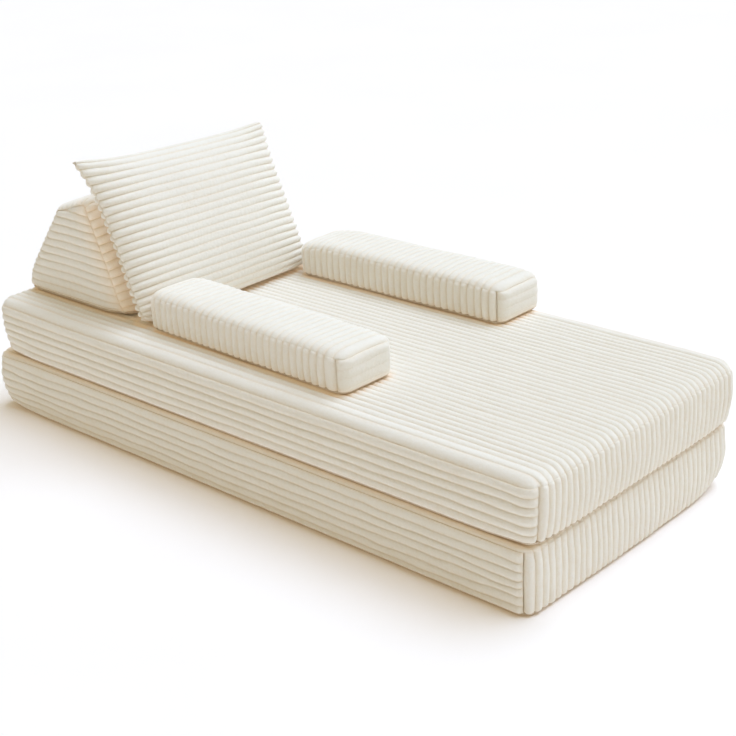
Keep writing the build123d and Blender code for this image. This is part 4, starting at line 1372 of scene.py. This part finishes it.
def hinge_cloth():
    y = np.arange(-0.890, 0.8901, 0.0015)
    low, high, sew_low, sew_high = 0.087, 0.252, 0.149, 0.190
    z = np.unique(np.round(np.concatenate([
        low + mm * np.array([0, 0.4, 1.2, 2.2, 2.8, 3.4, 4.6, 6.4, 7.2]),
        high - mm * np.array([0, 0.4, 1.2, 2.2, 2.8, 3.4, 4.6, 6.4, 7.2]),
        sew_low - mm * np.array([1.0, 1.8, 2.4, 3.0, 4.0]), sew_high + mm * np.array([1.0, 1.8, 2.4, 3.0, 4.0]),
        np.linspace(low + 0.012, sew_low - 0.008, 7), np.linspace(sew_high + 0.008, high - 0.012, 7),
        np.linspace(sew_low + 0.002, sew_high - 0.002, 19),
    ]), 6))
    Y, Z = np.meshgrid(y, z, indexing="ij")
    edge = np.minimum(Z - low, high - Z)
    hem = smooth((0.0072 - edge) / 0.0014)
    stitch = np.zeros_like(Z)
    for line in (low + 0.0028, high - 0.0028, sew_low - 0.0024, sew_high + 0.0024):
        along = 0.35 + 0.65 * (0.5 + 0.5 * np.cos(2 * math.pi * Y / 0.0045))
        stitch = np.maximum(stitch, np.exp(-(((Z - line) / 0.0006) ** 2)) * along)
    soft = 0.00025 * noise2(Y / 0.05, Z / 0.02, 91)
    x = 0.40745 + 0.0006 * hem - 0.0005 * stitch + soft
    outer = np.stack([x, Y, Z], -1)
    inner = np.stack([np.full_like(x, 0.40635), Y, Z], -1)
    verts, faces = closed_strip(outer, inner)
    ob = finish_object("hinge_cloth", verts, faces, HINGE, None, None)
    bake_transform(ob)
    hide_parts("lower_hinge_strip", "upper_hinge_strip")


hinge_cloth()


# =========================================================================================================
# Zips: woven tapes with a nylon coil. The sliders and pulls are the frame's own.
# =========================================================================================================
def zip_chain(prefix, body, pin, along, axis, out, length, width):
    along, axis, out = (np.array(v, float) / np.linalg.norm(v) for v in (along, axis, out))
    floor = np.array(pin) - along * (0.013 - length / 2) - out * 0.0055
    s = np.arange(-length / 2, length / 2 + 1e-6, 0.0005)
    tape = width / 2
    q = np.array(sorted(set(np.round(np.concatenate([
        np.linspace(0.0029, tape, 5 if tape < 0.008 else 8), -np.linspace(0.0029, tape, 5 if tape < 0.008 else 8),
        np.linspace(-0.0025, 0.0025, 13),
    ]), 6))))
    S, Q = np.meshgrid(s, q, indexing="ij")
    pitch = 0.0018
    coil = np.clip(1 - (np.abs(Q) / 0.0025) ** 2.4, 0, 1) ** 0.5
    tooth = 0.5 + 0.5 * np.cos(2 * math.pi * (S / pitch + 0.5 * (Q > 0)))
    gap = np.exp(-((Q / 0.0004) ** 2))
    h = 0.0008 + coil * (0.0009 + 0.0010 * tooth - 0.0005 * gap)
    near_end = np.clip((length / 2 - np.abs(S)) / 0.0012, 0, 1)
    h = np.where(coil > 0, 0.0008 + (h - 0.0008) * near_end, h)
    weave = 0.00008 * np.cos(2 * math.pi * (S / 0.0020 + Q / 0.0016)) * (coil <= 0)
    fold = 0.00025 * noise2(S / 0.05, Q / 0.02, 95) * smooth((np.abs(Q) - 0.003) / 0.004)
    def at(height):
        return floor + S[..., None] * along + Q[..., None] * axis + height[..., None] * out
    outer, inner = at(h + weave), at(np.full_like(h, 0.00005))
    if np.cross(along, axis) @ out < 0:
        outer, inner = outer[:, ::-1], inner[:, ::-1]
    verts, faces = closed_strip(outer, inner)
    finish_object(f"{prefix}_zip_chain", verts, faces, TAPE, body, "zip_tape", node=f"{prefix}_zip_chain")


ZIPS = [
    ("lower", "lower_slab", (0.306, 0.9568, 0.079), (-1, 0, 0), (0, 0, 1), (0, 1, 0), 0.640, 0.024),
    ("upper", "upper_slab", (0.306, 0.9398, 0.249), (-1, 0, 0), (0, 0, 1), (0, 1, 0), 0.640, 0.024),
    ("right_arm", "right_arm", (-0.155293, -0.212853, 0.3915), (0.0279216, 0.9996101, 0), (0, 0, 1), (0.9996101, -0.0279216, 0), 0.460, 0.024),
    ("left_arm", "left_arm", (0.40569, -0.22623, 0.3915), (-0.0087265, 0.9999619, 0), (0, 0, 1), (0.9999619, 0.0087265, 0), 0.460, 0.024),
    ("wedge", "wedge", (-0.217, 0.87012, 0.441259), (1, 0, 0), (0, 0.61932, -0.78514), (0, 0.78514, 0.61932), 0.460, 0.024),
    ("pillow", "back_cushion", (-0.209, 0.388655, 0.347344), (1, 0, 0), (0, -0.92291, 0.38502), (0, -0.38502, -0.92291), 0.420, 0.012),
]
for z in ZIPS:
    zip_chain(*z)
for n in nodes:
    if n.endswith("_zip_slider") or n.endswith("_zip_pull"):
        metal = nodes[n].data.materials
        if len(metal) == 0:
            metal.append(METAL)
        for i in range(len(metal)):
            metal[i] = METAL

# =========================================================================================================
# Stage
# =========================================================================================================
def floor_material():
    m = Nodes("pale_floor")
    p = m.coords()
    tone = m.noise(p, 1.3, 3.0)
    grain = m.noise(p, 60.0, 3.0)
    colour = m.mix(m.ramp(tone, 0.3, 0.7), (0.94, 0.94, 0.94), (0.955, 0.955, 0.955))
    m.link(colour, m.bsdf.inputs["Base Color"])
    m.link(m.ramp(grain, 0.3, 0.7, 0.75, 0.85), m.bsdf.inputs["Roughness"])
    # a lit studio floor
    m.set(Specular_IOR_Level=0.2, Emission_Color=(1.0, 0.55, 0.25, 1.0), Emission_Strength=0.075)
    return m.mat


def make_floor():
    n, rings = 96, np.array([0.0, 1.0, 2.0, 4.0, 8.0, 16.0, 32.0, 60.0])
    verts = [(0.0, 0.0, 0.0)]
    for r in rings[1:]:
        for i in range(n):
            t = 2 * math.pi * i / n
            verts.append((r * math.cos(t), r * math.sin(t), 0.0))
    faces = [[0, 1 + i, 1 + (i + 1) % n] for i in range(n)]
    for j in range(len(rings) - 2):
        a, c = 1 + j * n, 1 + (j + 1) * n
        for i in range(n):
            faces.append([a + i, c + i, c + (i + 1) % n, a + (i + 1) % n])
    ob = finish_object("floor", np.array(verts) - np.array([0, 0, 0.0005]), faces, floor_material(), None, None, flat=True)
    ob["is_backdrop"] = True


make_floor()


def soft_sun(name, towards, strength, colour, angle):
    data = bpy.data.lights.new(name, "SUN")
    data.energy = strength
    data.color = colour
    data.angle = math.radians(angle)
    ob = bpy.data.objects.new(name, data)
    ob.rotation_euler = Vector(towards).to_track_quat("Z", "Y").to_euler()
    bpy.context.scene.collection.objects.link(ob)


soft_sun("key", (0.30, -0.19, 0.92), 2.58, (0.68, 0.79, 1.0), 50)


def studio_world():
    """An even warm room with a soft box beyond the far side."""
    world = bpy.data.worlds.new("studio")
    bpy.context.scene.world = world
    world.use_nodes = True
    t = world.node_tree
    for n in list(t.nodes):
        t.nodes.remove(n)
    out = t.nodes.new("ShaderNodeOutputWorld")
    place = t.nodes.new("ShaderNodeTexCoord")
    axes = t.nodes.new("ShaderNodeSeparateXYZ")
    t.links.new(place.outputs["Generated"], axes.inputs[0])
    room = t.nodes.new("ShaderNodeBackground")
    room.inputs["Color"].default_value = (0.425, 0.365, 0.240, 1.0)
    total = room.outputs[0]
    for axis, sign, colour in (("X", 1.0, (0.18, 0.26, 0.32)),):
        flip = t.nodes.new("ShaderNodeMath")
        flip.operation = "MULTIPLY"
        flip.inputs[1].default_value = sign
        t.links.new(axes.outputs[axis], flip.inputs[0])
        only = t.nodes.new("ShaderNodeMath")
        only.operation = "MAXIMUM"
        only.inputs[1].default_value = 0.0
        t.links.new(flip.outputs[0], only.inputs[0])
        glow = t.nodes.new("ShaderNodeBackground")
        glow.inputs["Color"].default_value = (*colour, 1.0)
        t.links.new(only.outputs[0], glow.inputs["Strength"])
        both = t.nodes.new("ShaderNodeAddShader")
        t.links.new(total, both.inputs[0])
        t.links.new(glow.outputs[0], both.inputs[1])
        total = both.outputs[0]
    t.links.new(total, out.inputs["Surface"])


studio_world()
bpy.context.scene.view_settings.view_transform = "Standard"

made_low, made_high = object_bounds()
